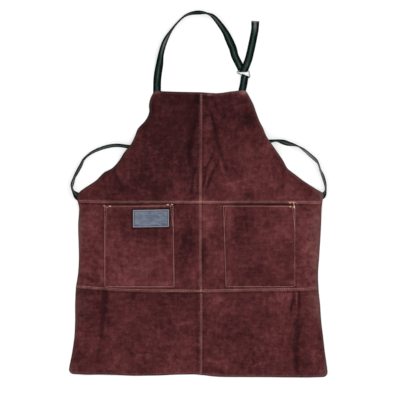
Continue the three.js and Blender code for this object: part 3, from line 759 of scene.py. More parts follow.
def makeSuede():
    material, tree, shader = newMaterial("oxbloodSuede")
    place = objectPlace(tree)
    # the first attribute holds the nap's lie together with painted shade from creases, lines, laps and the
    # label's surround
    napAndShade, rub, rim = (attributeNode(tree, name) for name in ("napAndShade", "rub", "rim"))
    fibres = groupNode(tree, fibreGroup, {"Vector": place, "Scale": suedeLook["fibreScale"]})
    rough = suedeLook["layerRoughness"]
    layers = [noiseNode(tree, stretched(tree, place, scale, turn), 1.0, detail, rough, distortion)
              for scale, turn, detail, distortion, amount in suedeLook["layers"]]
    blotches = layers[1]
    patchy = plus(tree, swing(tree, blotches, suedeLook["uneven"]), 1.0)
    lie = times(tree, times(tree, napAndShade, suedeLook["napShare"]), patchy)
    total = plus(tree, lie, 0.5)
    total = plus(tree, total, swing(tree, fibres.outputs["Shade"], suedeLook["grainShare"]))
    for layer, settings in zip(layers, suedeLook["layers"]):
        total = plus(tree, total, swing(tree, layer, settings[-1]))
    colour = rampNode(tree, total, suedeLook["stops"])
    # the pale mix: rubbed wear from the rub attribute, plus dust and painted sheen where the blotches run
    # high
    wearDustAndSheen = plus(tree, rub, swing(tree, blotches, suedeLook["dustAndSheen"]))
    colour = mixNode(tree, wearDustAndSheen, colour, suedeLook["wearDustAndSheenColour"])
    # the rim attribute mixes in the painted shade at the edges
    tree.links.new(mixNode(tree, rim, colour, suedeLook["rim"]), shader.inputs["Base Color"])
    addBump(tree, shader, fibres.outputs["Height"], suedeLook)
    setSurface(shader, suedeLook)
    return material


suedeMaterial = makeSuede()
print("materials ready")


def finishPiece(piece, material, node=None):
    piece.data.materials.append(material)
    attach(piece, body)
    if node:
        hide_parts(node)


def suedePiece(node, x, y, bottom, top, marks):
    piece = linkPiece(f"{node}_suede", shellMesh(f"{node}_suede", x, y, bottom, top, marks))
    finishPiece(piece, suedeMaterial, node)
    return piece, (np.ptp(x) * mm, np.ptp(y) * mm)


def makePanels():
    for tierName, tier in tiers.items():
        for side, sideName in ((-1, "left"), (1, "right")):
            node = f"{tierName}_{sideName}"
            x, y = panelGrid(tier, side)
            bottom, top = panelHeights(tier, side, x, y)
            shade, rub, hemD = panelShade(tier, side, x, y)
            # near the hem: painted shade where the rolled edge turns from the light, and rubbed pale wear
            rim = bell(hemD, panelLook["rimReach"])
            tint, paintedEdgeShade, rubbedRim = panelTints[node]
            marks = {"napAndShade": shade + tint, "rub": rub + rubbedRim * rim, "rim": paintedEdgeShade * rim}
            piece, flat = suedePiece(node, x, y, bottom, top, marks)


def makePockets():
    for node, pocket in pocketCut.items():
        x, y = pocketGrid(pocket)
        bottom, top, edgeD = pocketHeights(pocket, x, y)
        # a band of painted shadow round the label on the pocket's front
        paintedShadow = pocketShape["paintedShadow"] * bell(np.minimum(labelEdge(x, y), 0), pocketShape["paintedShadowReach"])
        shade = napLie(x, y, pocketPatches) + pocket["tint"] + paintedShadow
        # at the pocket's edges: painted shade through rim, and wear through rub
        edge = bell(edgeD, pocketShape["edgeReach"])
        marks = {"napAndShade": shade, "rub": pocketShape["rub"] * edge, "rim": pocketShape["rim"] * edge}
        piece, flat = suedePiece(node, x, y, bottom, top, marks)


makePanels()
makePockets()
print("suede panels and pockets made")

# Webbing straps
strap = {"thickness": 1.4, "width": 20, "neckWidth": 20.8, "tieWidth": 19, "flare": 21.6, "gap": 0.3,
         "step": 1.5, "wrapSteps": 25}
selvedge = {"points": 15, "thickness": 0.35, "bead": 0.12, "beadPlace": 0.86, "beadReach": 0.08}
ringWire = {"thickness": 3, "bend": 3.05, "corners": [(105.8, 322.6), (133, 311.6), (130.6, 323.2)],
            "loopAlong": 20.4, "sides": 20, "arcSteps": 28, "barSteps": 16}
foldAngle = np.radians(25)  # slant of the neck strap on the ring
wrapRadius = ringWire["thickness"] / 2 + strap["gap"] + strap["thickness"] / 2
ringHeight = strap["thickness"] + strap["gap"] + ringWire["thickness"] / 2
wrapTop = ringHeight + ringWire["thickness"] / 2 + strap["gap"]
up = np.array([0.0, 0.0, 1.0])

# Routes: x, y, lean of the width in degrees
neckRoute = [
    (-110, 246, 0), (-110, 264, 0), (-109.8, 283, 0), (-109.3, 302, 1), (-107, 322, 8), (-103, 344, 24),
    (-100, 365, 44), (-95, 386, 50), (-87, 407, 57), (-74.5, 428.6, 75), (-58.2, 450.2, 84),
    (-38.4, 469, 84), (-20, 477.2, 75), (2, 479.7, 68), (23, 477.2, 84), (39.5, 468.4, 64),
    (56.6, 448.8, 51), (71, 428, 41), (81.5, 407, 18), (90.8, 386, 7),
]
leftTieRoute = [
    (-301, -18, 0), (-311, -13, 0), (-319, -7, 6), (-325, 0, 42), (-330.5, 7, 72), (-334.4, 16, 80),
    (-333.6, 27, 68), (-328.2, 43.5, 75), (-320.2, 59, 69), (-311.3, 75.5, 70), (-304.6, 89.5, 77),
    (-295, 100, 77), (-279, 111.3, 72), (-257, 120.8, 67), (-235, 126.8, 65), (-216, 128.8, 65),
    (-201, 127.6, 64), (-189, 125.6, 62), (-177, 124, 56), (-165, 123.5, 43), (-152, 124, 25),
    (-139, 124.5, 8), (-124, 125, 0), (-92, 125, 0), (-45, 126, 0),
]
rightTieRoute = [
    (55, 132, 0), (95, 133, 0), (134, 134.4, 0), (149, 135.4, 8), (162, 136.4, 25), (175, 137.6, 45),
    (187, 139, 60), (200, 141, 73), (210, 141, 71), (224, 137.5, 51), (238, 133.2, 55), (252, 130, 72),
    (265, 125.5, 84), (279, 116.5, 74), (297, 101.2, 69), (310, 89.5, 71), (317, 79, 83),
    (321.7, 64, 82), (328, 49.5, 72), (334, 30, 74), (336, 16, 82), (335.3, 8, 78), (332.8, 1.5, 58),
    (326.5, -4.5, 12), (317.5, -10, 0), (308, -16, 0),
]
# Routes that lie flat: x, y, height of the underside
tailRoute = [(133.3, 360, 1.2), (139.5, 386, 0.2), (145.2, 413, 0), (149.3, 436, 0), (150.5, 459, 0)]
loopRoute = [(113, 248, 0), (113.6, 262, 0), (116.2, 277, 0), (119.4, 291, 0)]
# Straight stretches beside the ring: distance from it, height of the underside, skew
neckLeg = [(-45, 0, 0), (-22, 0, 0), (0, 0, foldAngle)]
neckTail = [(0, wrapTop, -foldAngle), (14, 3.4, 0)]
loopUnder = [(-5, 0, 0), (0, 0, 0)]
loopOver = [(0, wrapTop, 0), (5, 4.3, 0)]
# Painted highlight, pale grey along the webbing's middle: x, y, reach across, reach up, amount
paintedHighlightSpots = [
    (-90, 403, 16, 30, 0.6), (48, 459, 16, 20, 0.35), (150, 447, 8, 14, 0.55), (-262, 116, 34, 16, 0.3),
    (-312, 70, 14, 22, 0.25), (-228, 124, 24, 10, 0.15), (-331, 28, 8, 18, 0.55),
    (238, 136, 16, 8, 0.25), (292, 106, 28, 26, 1.1), (322, 62, 14, 26, 0.95), (336, 22, 8, 18, 0.5),
]


def unit(vectors):
    return vectors / np.linalg.norm(vectors, axis=-1, keepdims=True)


def routeSections(rows, faceDown=False):
    # rows of x, y, lean, low, skew and width, read smoothly: each section stands on its lower edge,
    # its width leaning up from the left of the way ahead
    rows = np.asarray(rows, float)
    place = np.arange(len(rows))
    length = np.sum(np.hypot(*np.diff(rows[:, :2], axis=0).T))
    at = np.linspace(0, len(rows) - 1, int(length / strap["step"]))
    x, y, lean, low, skew, width = (curveThrough(np.column_stack([place, column]), 1, at)
                                    for column in rows.T)
    lean, low = np.radians(np.maximum(lean, 0))[:, None], np.maximum(low, 0)
    ahead = unit(np.column_stack([np.gradient(x), np.gradient(y), 0 * x]))
    left = np.cross(up, ahead) + ahead * np.tan(skew)[:, None]
    turn = -1 if faceDown else 1
    across = turn * (left * np.cos(lean) + up * np.sin(lean))
    normal = turn * (up * np.cos(lean) - left * np.sin(lean))
    height = low + (width * np.sin(lean[:, 0]) + strap["thickness"] * np.cos(lean[:, 0])) / 2
    return {"centre": np.column_stack([x, y, height]), "across": across, "normal": normal, "width": width}


def wrapSections(bar, along, side, slant):
    # half a turn round a bar of the ring from under it to over it, each section parallel to the bar,
    # carried along the bar by the slant
    turn = np.linspace(0, np.pi, strap["wrapSteps"])[:, None]
    outward = -up * np.cos(turn) + side * np.sin(turn)
    ahead = (up * np.sin(turn) + side * np.cos(turn)) * np.cos(slant) + along * np.sin(slant)
    centre = bar + outward * wrapRadius + along * wrapRadius * np.tan(slant) * (turn - np.pi / 2)
    facing = np.sign(np.sum(np.cross(-outward, ahead) * along, 1))[:, None]
    across = facing * along / np.cos(slant)
    width = np.full(len(turn), strap["width"], float)
    return {"centre": centre, "across": across, "normal": -outward, "width": width, "ahead": ahead}


def straightRows(sections, index, rows):
    # route rows straight before or after a section: distance, low, skew
    centre, ahead = sections["centre"][index], sections["ahead"][index]
    return [(*(centre + ahead * distance)[:2], 0, low, skew, strap["width"])
            for distance, low, skew in rows]


def fullRows(rows, flat=False, lastWidth=None, width=strap["width"]):
    # fills in the columns that a short route leaves out
    full = [(x, y, 0, last, 0, width) if flat else (x, y, last, 0, 0, width) for x, y, last in rows]
    if lastWidth:
        full[-1] = (*full[-1][:5], lastWidth)
    return full


def ringBar(first, second):
    # middle of the wire along a bar: start, direction, the way inwards, and length
    start, end = (np.array([*ringWire["corners"][k], ringHeight]) for k in (first, second))
    along = unit(end - start)
    inward = np.cross(up, along)
    return start - inward * ringWire["bend"], along, inward, np.linalg.norm(end - start)


def joined(runs):
    # sections of several runs, one after another
    names = ("centre", "across", "normal", "width")
    return {name: np.concatenate([run[name] for run in runs]) for name in names}


def cropped(sections, first, last):
    return {name: values[first:last] for name, values in sections.items()}


def ribbonMesh(node, sections):
    # a flat band carried along the sections: it thins to its selvedges as the root of one less a sixth
    # power, with a bead along each; marks give the way along and across it in millimetres for the weave
    spots = np.sin(np.linspace(-np.pi / 2, np.pi / 2, selvedge["points"]))
    fullness = selvedge["thickness"] + (1 - selvedge["thickness"]) * np.sqrt(1 - np.abs(spots) ** 6)
    half = strap["thickness"] / 2 * fullness
    half = half + selvedge["bead"] * bell(np.abs(spots) - selvedge["beadPlace"], selvedge["beadReach"])
    over = np.concatenate([spots, spots[::-1]])
    lift = np.concatenate([half, -half[::-1]])
    centre, across, normal = (sections[key][:, None, :] for key in ("centre", "across", "normal"))
    width = sections["width"][:, None, None]
    points = centre + across * over[None, :, None] * width / 2 + normal * lift[None, :, None]
    count, ring = points.shape[:2]
    index = np.arange(count * ring).reshape(count, ring)
    following = np.roll(index, -1, 1)
    sideFaces = np.stack([index[:-1], index[1:], following[1:], following[:-1]], -1).reshape(-1, 4)
    top, bottom = np.arange(len(spots)), ring - 1 - np.arange(len(spots))
    cap = np.stack([top[:-1], top[1:], bottom[1:], bottom[:-1]], -1)
    quads = np.concatenate([sideFaces, index[0][cap], index[-1][cap][:, ::-1]])
    mesh = fillMesh(f"{node}_webbing", points.reshape(-1, 3), quads)
    steps = np.linalg.norm(np.diff(sections["centre"], axis=0), axis=1)
    along = np.concatenate([[0], np.cumsum(steps)])
    setAttribute(mesh, "along", np.repeat(along, ring))
    setAttribute(mesh, "across", np.tile(over, count) * np.repeat(sections["width"] / 2, ring))
    setAttribute(mesh, "cutEnd", np.repeat(bell(along[-1] - along, webbingLook["cutReach"]), ring))
    # worn: painted highlight along the middle of the webbing
    worn = napLie(sections["centre"][:, 0], sections["centre"][:, 1], paintedHighlightSpots)
    setAttribute(mesh, "worn", worn[:, None] * bell(over, webbingLook["paintedHighlightReach"][node]))
    return mesh, along[-1]


def neckSections():
    # the route to the ring, half a turn round its upper bar, and the free tail laid back over it
    start, along, inward, length = ringBar(2, 0)
    wrap = wrapSections(start + along * length / 2, -along, inward, foldAngle)
    leg = straightRows(wrap, 0, neckLeg)
    tail = straightRows(wrap, -1, neckTail)
    neck = routeSections(fullRows(neckRoute, width=strap["neckWidth"]) + leg)
    end = routeSections(tail + fullRows(tailRoute, flat=True, lastWidth=strap["flare"]), faceDown=True)
    return joined([cropped(neck, 0, -1), wrap, cropped(end, 1, None)])


def loopSections():
    # under layer to the ring, half a turn round its lower bar, and back as the upper layer
    start, along, inward = ringBar(0, 1)[:3]
    wrap = wrapSections(start + along * ringWire["loopAlong"], along, inward, 0)
    under = fullRows(loopRoute, flat=True) + straightRows(wrap, 0, loopUnder)
    secondLayer = strap["thickness"] + strap["gap"]
    raised = [(x, y, low + secondLayer) for x, y, low in loopRoute[::-1]]
    back = straightRows(wrap, -1, loopOver) + fullRows(raised, flat=True)
    over = routeSections(back, faceDown=True)
    return joined([cropped(routeSections(under), 0, -1), wrap, cropped(over, 1, None)])


webbingLook = {
    # from the middle out to the selvedge: the webbing's own dark green, painted pale down the middle as a
    # highlight and near black at the selvedges as shade
    "stops": [(0.0, (0.066, 0.090, 0.081)), (0.2, (0.026, 0.047, 0.040)), (0.43, (0.008, 0.021, 0.0168)),
              (0.66, (0.0026, 0.0056, 0.0048)), (1.0, (0.0010, 0.0022, 0.0019))],
    # cutEnd: pale of the cut end; worn: colour of the painted highlight along the middle
    "cutEnd": (0.32, 0.27, 0.20), "worn": (0.24, 0.245, 0.235),
    "paintedHighlightReach": {"neck_strap": 0.27, "ring_loop": 0.27, "waist_tie_left": 0.45, "waist_tie_right": 0.45},
    "cutReach": 2.5, "ribsAlong": 0.72, "ribsAcross": 0.62, "fibreScale": 2.4, "fibreHeight": 0.4,
    "middle": 0.15, "grain": 0.3, "bump": 0.5, "bumpDepth": 0.0005,
    "streaks": 1.5, "streakStretch": (0.03, 0.5, 1), "streakNoise": (3.0, 0.6),
    "surface": {"Roughness": 0.8, "Specular IOR Level": 0.03},
}


def makeWebbing():
    material, tree, shader = newMaterial("darkWebbing")
    names = ("along", "across", "cutEnd", "worn")
    along, across, cutEnd, worn = (attributeNode(tree, name) for name in names)
    place = shaderNode(tree, "ShaderNodeCombineXYZ", {"X": along, "Y": across}).outputs[0]
    counts = {"Vector": place, "Along": webbingLook["ribsAlong"], "Across": webbingLook["ribsAcross"]}
    weave = groupNode(tree, weaveGroup, counts).outputs["Height"]
    fibres = groupNode(tree, fibreGroup, {"Vector": place, "Scale": webbingLook["fibreScale"]})
    drawn = stretched(tree, place, webbingLook["streakStretch"])
    streaks = noiseNode(tree, drawn, 1.0, *webbingLook["streakNoise"])
    outward = mathNode(tree, "DIVIDE", mathNode(tree, "ABSOLUTE", across, 0.0), strap["width"] / 2)
    total = times(tree, mathNode(tree, "SUBTRACT", fibres.outputs["Shade"], weave), webbingLook["grain"])
    total = plus(tree, total, swing(tree, streaks, webbingLook["streaks"]))
    total = plus(tree, total, webbingLook["middle"])
    # the ramp over the way out from the middle paints the highlight down the middle and the shade at the
    # selvedges
    colour = rampNode(tree, plus(tree, outward, total), webbingLook["stops"])
    # worn mixes in the painted highlight along the middle
    colour = mixNode(tree, worn, colour, webbingLook["worn"])
    tree.links.new(mixNode(tree, cutEnd, colour, webbingLook["cutEnd"]), shader.inputs["Base Color"])
    height = plus(tree, weave, times(tree, fibres.outputs["Height"], webbingLook["fibreHeight"]))
    addBump(tree, shader, height, webbingLook)
    setSurface(shader, webbingLook)
    return material


def tieSections(route):
    return routeSections(fullRows(route, width=strap["tieWidth"]))


def makeStraps():
    material = makeWebbing()
    runs = {
        "neck_strap": (neckSections(), ["floor", "bib_left"]),
        "ring_loop": (loopSections(), ["floor", "bib_right"]),
        "waist_tie_left": (tieSections(leftTieRoute), ["floor", "bib_left"]),
        "waist_tie_right": (tieSections(rightTieRoute), ["floor", "bib_right"]),
    }
    for node, (sections, restsOn) in runs.items():
        mesh, length = ribbonMesh(node, sections)
        piece = linkPiece(f"{node}_webbing", mesh)
        finishPiece(piece, material, node)
        print(node, "is", round(length), "mm long")


def ringMesh():
    # round wire carried round three bends and the straight bars between them; the angle of the
    # outward direction sets both the place on a bend and the way the section faces
    corners = np.array(ringWire["corners"], float)
    toNext = np.roll(corners, -1, 0) - corners
    facing = np.arctan2(toNext[:, 1], toNext[:, 0]) - np.pi / 2
    arrive = np.roll(facing, 1)
    leave = np.where(facing < arrive, facing + 2 * np.pi, facing)
    arcs = arrive[:, None] + (leave - arrive)[:, None] * np.linspace(0, 1, ringWire["arcSteps"])
    bars = np.repeat(leave[:, None], ringWire["barSteps"], 1)
    run = np.linspace(0, 1, ringWire["barSteps"] + 2)[1:-1]
    angle = np.concatenate([arcs, bars], 1).ravel()
    middle = np.concatenate([
        np.repeat(corners[:, None], ringWire["arcSteps"], 1),
        corners[:, None] + toNext[:, None] * run[None, :, None],
    ], 1).reshape(-1, 2)
    outward = np.column_stack([np.cos(angle), np.sin(angle), 0 * angle])
    centre = np.column_stack([middle, np.full(len(middle), ringHeight)]) + outward * ringWire["bend"]
    turn = np.linspace(0, 2 * np.pi, ringWire["sides"], endpoint=False)
    radius = ringWire["thickness"] / 2
    points = centre[:, None] + radius * (outward[:, None] * np.cos(turn)[None, :, None]
                                         + up * np.sin(turn)[None, :, None])
    index = np.arange(points.shape[0] * points.shape[1]).reshape(points.shape[:2])
    ahead, beside = np.roll(index, -1, 0), np.roll(index, -1, 1)
    both = np.roll(ahead, -1, 1)
    quads = np.stack([index, ahead, both, beside], -1).reshape(-1, 4)
    return fillMesh("strap_ring_wire", points.reshape(-1, 3), quads)


ringLook = {
    "stops": [(0.3, (0.13, 0.13, 0.128)), (0.65, (0.36, 0.36, 0.355))],
    "scuffStretch": (260, 900, 900), "scuffTurn": 0.4, "scuffNoise": (4.0, 0.7), "roughness": (0.2, 0.42),
}


def makeRing():
    material, tree, shader = newMaterial("nickelWire")
    drawn = stretched(tree, objectPlace(tree), ringLook["scuffStretch"], ringLook["scuffTurn"])
    scuffs = noiseNode(tree, drawn, 1.0, *ringLook["scuffNoise"])
    tree.links.new(rampNode(tree, scuffs, ringLook["stops"]), shader.inputs["Base Color"])
    smooth, rough = ringLook["roughness"]
    spread = shaderNode(tree, "ShaderNodeMapRange", {"Value": scuffs, "To Min": smooth, "To Max": rough})
    tree.links.new(spread.outputs[0], shader.inputs["Roughness"])
    shader.inputs["Metallic"].default_value = 1.0
    piece = linkPiece("strap_ring_wire", ringMesh())
    finishPiece(piece, material, "strap_ring")


makeStraps()
makeRing()
print("straps and ring made")

# Cloth of the label
labelPocket = pocketCut["pocket_left"]
labelLook = {
    "stops": [(0.25, (0.070, 0.086, 0.128)), (0.5, (0.118, 0.138, 0.186)), (0.75, (0.165, 0.180, 0.222))],
    "edge": (0.235, 0.21, 0.25), "line": (0.055, 0.062, 0.088),
    "threads": 620.0, "fibreScale": 900.0, "fibreHeight": 0.3, "weaveShare": 0.25,
    "wornStretch": (60, 110, 100), "wornNoise": (4.0, 0.7, 0.6), "wornShare": 1.8, "darker": 0.5,
    "bump": 0.4, "bumpDepth": 0.0003, "surface": {"Roughness": 0.8, "Specular IOR Level": 0.12},
}


def labelHeights(x, y):
    # follows the pocket's front; a raised border all round, rounded off at the edge
    edgeD = labelEdge(x, y)
    share = roundShare(edgeD, labelCloth["round"])
    under = pocketHeights(labelPocket, x, y)[1] + labelCloth["gap"] / 2
    border = 1 - smoothStep((edgeD - labelCloth["border"]) / labelCloth["borderEase"])
    thick = labelCloth["thickness"] + labelCloth["borderRaise"] * border
    half = labelCloth["thickness"] / 2
    middle = under + half
    return middle - share * half, middle + share * (thick - half)


def makeLabelCloth():
    material, tree, shader = newMaterial("wovenLabel")
    place = objectPlace(tree)
    border, line = (attributeNode(tree, name) for name in ("border", "line"))
    counts = {"Vector": place, "Along": labelLook["threads"], "Across": labelLook["threads"]}
    weave = groupNode(tree, weaveGroup, counts).outputs["Height"]
    fibres = groupNode(tree, fibreGroup, {"Vector": place, "Scale": labelLook["fibreScale"]})
    worn = noiseNode(tree, stretched(tree, place, labelLook["wornStretch"]), 1.0, *labelLook["wornNoise"])
    mixed = times(tree, worn, labelLook["wornShare"])
    mixed = plus(tree, times(tree, weave, labelLook["weaveShare"]), mixed)
    field = rampNode(tree, mathNode(tree, "SUBTRACT", mixed, labelLook["darker"]), labelLook["stops"])
    field = mixNode(tree, line, field, labelLook["line"])
    tree.links.new(mixNode(tree, border, field, labelLook["edge"]), shader.inputs["Base Color"])
    height = plus(tree, weave, times(tree, fibres.outputs["Height"], labelLook["fibreHeight"]))
    addBump(tree, shader, height, labelLook)
    setSurface(shader, labelLook)
    return material


def makeLabel():
    columnOffset, columnPart, rowOffset, rowPart = gridLines(labelCloth["cells"])
    wide, tall = labelCloth["right"] - labelCloth["left"], labelCloth["head"] - labelCloth["foot"]
    x, y = np.meshgrid(
        labelCloth["left"] + columnOffset + columnPart * wide,
        labelCloth["foot"] + rowOffset + rowPart * tall,
    )
    y = y + labelRise(x)
    bottom, top = labelHeights(x, y)
    edgeD = labelEdge(x, y)
    marks = {"border": 1 - smoothStep((edgeD - labelCloth["border"]) / labelCloth["markEase"]),
             "line": bell(edgeD - labelCloth["inner"], labelCloth["lineReach"])}
    piece = linkPiece("label_cloth", shellMesh("label_cloth", x, y, bottom, top, marks))
    finishPiece(piece, makeLabelCloth(), "label")


makeLabel()
print("label made")

# Sewing thread
seamThread = {"length": 4.2, "gap": 0.8, "thick": 1.1, "rise": 0.25, "sink": 0.75, "jitter": 0.12}
hemThread = {"length": 3.6, "gap": 0.9, "thick": 0.85, "rise": 0.2, "sink": 0.6, "jitter": 0.12}
labelThread = {"length": 2.2, "gap": 0.6, "thick": 0.55, "rise": 0.12, "sink": 0.4, "jitter": 0.05}
bartack = {"spacing": 0.9, "reach": 3.1, "thick": 0.95, "slant": 0.35, "rise": 0.5, "sink": 0.7,
           "uneven": 0.08}
# How much darker a row is than fresh thread
soiled = {"edge": 0.13, "inner": 0.28, "hem": 0.45, "pocket": 0.1, "short": 0.18}
# Points and sides of one thread, its thinning and tips, uneven lengths, and the steps of its path
sewing = {"points": 6, "sides": 6, "thinning": 0.84, "tip": 0.5, "uneven": 0.05, "step": 2.0,
          "insetStep": 1.5}
# How far rows of stitches stay from the places where they end
rowEnds = {"side": 3, "foot": 2, "top": 2, "covered": 1, "pastSeam": 6, "short": 8}
# Tacks where the pockets' rows end: x, y, turn in degrees, number of bars, soiling
tackSpots = [
    (-249.8, -31, 0, 5, 0.2), (-234, -32, 0, 6, 0.05), (-81.5, -28, 1, 6, 0.0), (-70, -27.6, 1, 5, 0.0),
    (253.4, -34.5, 90, 7, -0.15), (252, -23.5, 90, 5, 0.0), (242.5, -33.5, 90, 4, 0.05),
    (242.5, -24, 0, 4, 0.2), (260, -24.5, 90, 3, 0.15), (248, -21.8, 0, 22, 0.3),
    (252.6, -28.6, 90, 4, 0.1), (66.5, -33, 0, 3, 0.5),
]
# Stretches of thread that have stayed clean: x, y, reach across, reach up, amount
freshSpots = [
    (5, -257, 14, 8, 0.45), (-40, -257, 45, 8, 0.2), (75, -256, 45, 8, 0.25), (190, -253, 40, 8, 0.15),
    (-205, -254, 30, 8, 0.12), (5, -21, 12, 10, 0.25), (25, -21, 50, 10, 0.2), (-70, -21, 90, 10, 0.12),
    (3, 45, 10, 55, 0.25), (3, 255, 10, 20, 0.12), (2, -150, 10, 70, 0.2), (1, -330, 10, 60, 0.08),
    (222, -34, 26, 5, 0.5), (-92, -31.5, 30, 5, 0.28), (-240, -34, 14, 6, 0.2),
    (-248, -150, 6, 80, 0.3), (-64, -200, 6, 55, 0.28), (255, -60, 6, 40, 0.3), (68, -120, 6, 60, 0.1),
    (-150, -246, 70, 5, 0.4), (-66, -70, 6, 30, 0.35), (160, -245, 70, 5, 0.1),
    (0, -478, 330, 12, 0.25), (-290, -249, 25, 8, 0.35), (-75, -256, 25, 8, 0.3),
    (230, -253, 25, 8, 0.25), (2, 140, 10, 60, -0.32), (290, -21, 35, 10, 0.18),
    (332, -470, 12, 16, 0.35), (255, -24, 16, 8, 0.2),
]
chance = np.random.default_rng(7)
stitchShare = np.linspace(-0.5, 0.5, sewing["points"])  # points along one stitch


def threadMesh(name, runs):
    # round threads along their own points: a ring round each point, thinner at both ends as the root of
    # one less a sixth power, closed by a tip; runs hold threads by points by three, radii and soiling
    lines = np.concatenate([points for points, radius, soil in runs])
    radii = np.concatenate([np.full(len(points), radius) for points, radius, soil in runs])
    soils = np.concatenate([np.full(len(points), soil) for points, radius, soil in runs])
    count, steps, sides = *lines.shape[:2], sewing["sides"]
    ahead = unit(np.gradient(lines, axis=1))
    sideways = unit(np.cross(ahead, up))
    rise = np.cross(sideways, ahead)
    turn = np.linspace(0, 2 * np.pi, sides, endpoint=False)[None, None, :, None]
    taper = np.sqrt(1 - sewing["thinning"] * np.abs(np.linspace(-1, 1, steps)) ** 6)
    size = radii[:, None, None, None] * taper[None, :, None, None]
    around = sideways[:, :, None] * np.cos(turn) + rise[:, :, None] * np.sin(turn)
    rings = lines[:, :, None] + size * around
    reach = np.array([-sewing["tip"], sewing["tip"]])[None, :, None] * radii[:, None, None]
    tips = lines[:, [0, -1]] + ahead[:, [0, -1]] * reach
    index = np.arange(count * steps * sides).reshape(count, steps, sides)
    following = np.roll(index, -1, 2)
    quads = np.stack([index[:, :-1], following[:, :-1], following[:, 1:], index[:, 1:]], -1).reshape(-1, 4)
    tip = count * steps * sides + np.arange(count * 2).reshape(count, 2)
    first = np.stack([following[:, 0], index[:, 0], np.repeat(tip[:, :1], sides, 1)], -1)
    last = np.stack([index[:, -1], following[:, -1], np.repeat(tip[:, 1:], sides, 1)], -1)
    triangles = np.concatenate([first.reshape(-1, 3), last.reshape(-1, 3)])
    points = np.concatenate([rings.reshape(-1, 3), tips.reshape(-1, 3)])
    mesh = fillMesh(name, points, quads, triangles)
    setAttribute(mesh, "soil", np.concatenate([np.repeat(soils, steps * sides), np.repeat(soils, 2)]))
    return mesh


def travelAlong(path):
    # distance travelled at each point of a path
    return np.concatenate([[0], np.cumsum(np.hypot(*np.diff(path, axis=0).T))])


def pathAt(path, at):
    # points of a path at distances along it
    travelled = travelAlong(path)
    return np.interp(at, travelled, path[:, 0]), np.interp(at, travelled, path[:, 1])


def drawnIn(thread):
    # how far a stitch is drawn into the holes at its ends: a fifth power of the way from its middle
    return thread["sink"] * np.abs(2 * stitchShare) ** 5


def stitchesAlong(path, heightAt, thread, soil):
    # stitches of even length with small gaps: each lies on the leather, arched in its middle and
    # drawn down into the holes at its ends
    total = travelAlong(path)[-1]
    count = max(int(total / (thread["length"] + thread["gap"])), 1)
    middle = (np.arange(count) + 0.5) * total / count
    stretch = 1 + sewing["uneven"] * chance.standard_normal((count, 1))
    x, y = pathAt(path, middle[:, None] + stitchShare * thread["length"] * stretch)
    x = x + thread["jitter"] * chance.standard_normal((count, 1))
    y = y + thread["jitter"] * chance.standard_normal((count, 1))
    z = heightAt(x, y) + thread["rise"] * np.cos(np.pi * stitchShare) - drawnIn(thread)
    return np.stack([x, y, z], -1), thread["thick"] / 2, soil - napLie(*pathAt(path, middle), freshSpots)


def tierTop(tier):
    # top of the two panels of a tier, the left one where it laps over the right
    def heightAt(x, y):
        left, right = panelHeights(tier, -1, x, y)[1], panelHeights(tier, 1, x, y)[1]
        return np.where(x < seamEdge(-1, y), left, right)
    return heightAt


def edgePath(tier, side):
    # outer edge of a panel from the middle of the foot round the side to the middle of the head
    x, y = panelGrid(tier, side)
    if side < 0:
        x, y = x[:, ::-1], y[:, ::-1]
    runs = [np.column_stack([x[:, -1], y[:, -1]])]
    if tier["footCorner"]:
        runs.insert(0, np.column_stack([x[0], y[0]])[:-1])
    if tier["headCorner"]:
        runs.append(np.column_stack([x[-1], y[-1]])[-2::-1])
    return np.concatenate(runs)


def inset(path, side, distance):
    # a path moved inwards by a distance, square to its own direction
    x, y = pathAt(path, np.arange(0, travelAlong(path)[-1], sewing["insetStep"]))
    ahead = unit(np.column_stack([np.gradient(x), np.gradient(y)]))
    inward = side * np.column_stack([-ahead[:, 1], ahead[:, 0]])
    return np.column_stack([x, y]) + distance * inward


def hemRuns():
    # along every outer edge, left out where another panel covers it
    runs = []
    above = {"lower": tiers["middle"], "middle": tiers["bib"]}
    for name, tier in tiers.items():
        for side in (-1, 1):
            path = inset(edgePath(tier, side), side, hem["row"])
            x, y = path.T
            pastSeam = x - seamEdge(-1, y)
            keep = pastSeam < rowEnds["pastSeam"] if side < 0 else pastSeam > rowEnds["covered"]
            if tier["lapsFoot"]:
                keep &= y > footLine(tier, x) + rowEnds["covered"]
            if name in above:
                keep &= y < footLine(above[name], x) - rowEnds["covered"]
            runs.append(stitchesAlong(path[keep], tierTop(tier), hemThread, soiled["hem"]))
    return runs


def seamRuns():
    # two rows along each lap: across at the feet of bib and middle, then down the middle of each tier
    runs = []
    rowSoil = {"bib": ("edge", "edge"), "middle": ("inner", "edge")}
    for name, soils in rowSoil.items():
        tier = tiers[name]
        level = footLine(tier, 0)
        first, last = sideEdge(-1, level) + rowEnds["side"], sideEdge(1, level) - rowEnds["side"]
        x = np.arange(first, last, sewing["step"])
        for row, soil in zip(tier["rows"], soils):
            path = np.column_stack([x, footLine(tier, x) + row])
            runs.append(stitchesAlong(path, tierTop(tier), seamThread, soiled[soil]))
    ends = {"bib": headLine(tiers["bib"], 0) - rowEnds["top"],
            "middle": footLine(tiers["bib"], 0) - rowEnds["covered"],
            "lower": footLine(tiers["middle"], 0) - rowEnds["covered"]}
    for name, tier in tiers.items():
        y = np.arange(footLine(tier, 0) + rowEnds["foot"], ends[name], sewing["step"])
        for row, soil in zip(centreRows, ("edge", "inner")):
            path = np.column_stack([seamEdge(-1, y) - row, y])
            runs.append(stitchesAlong(path, tierTop(tier), seamThread, soiled[soil]))
    return runs


def pocketTop(pocket):
    # top of one pocket's front
    def heightAt(x, y):
        return pocketHeights(pocket, x, y)[1]
    return heightAt


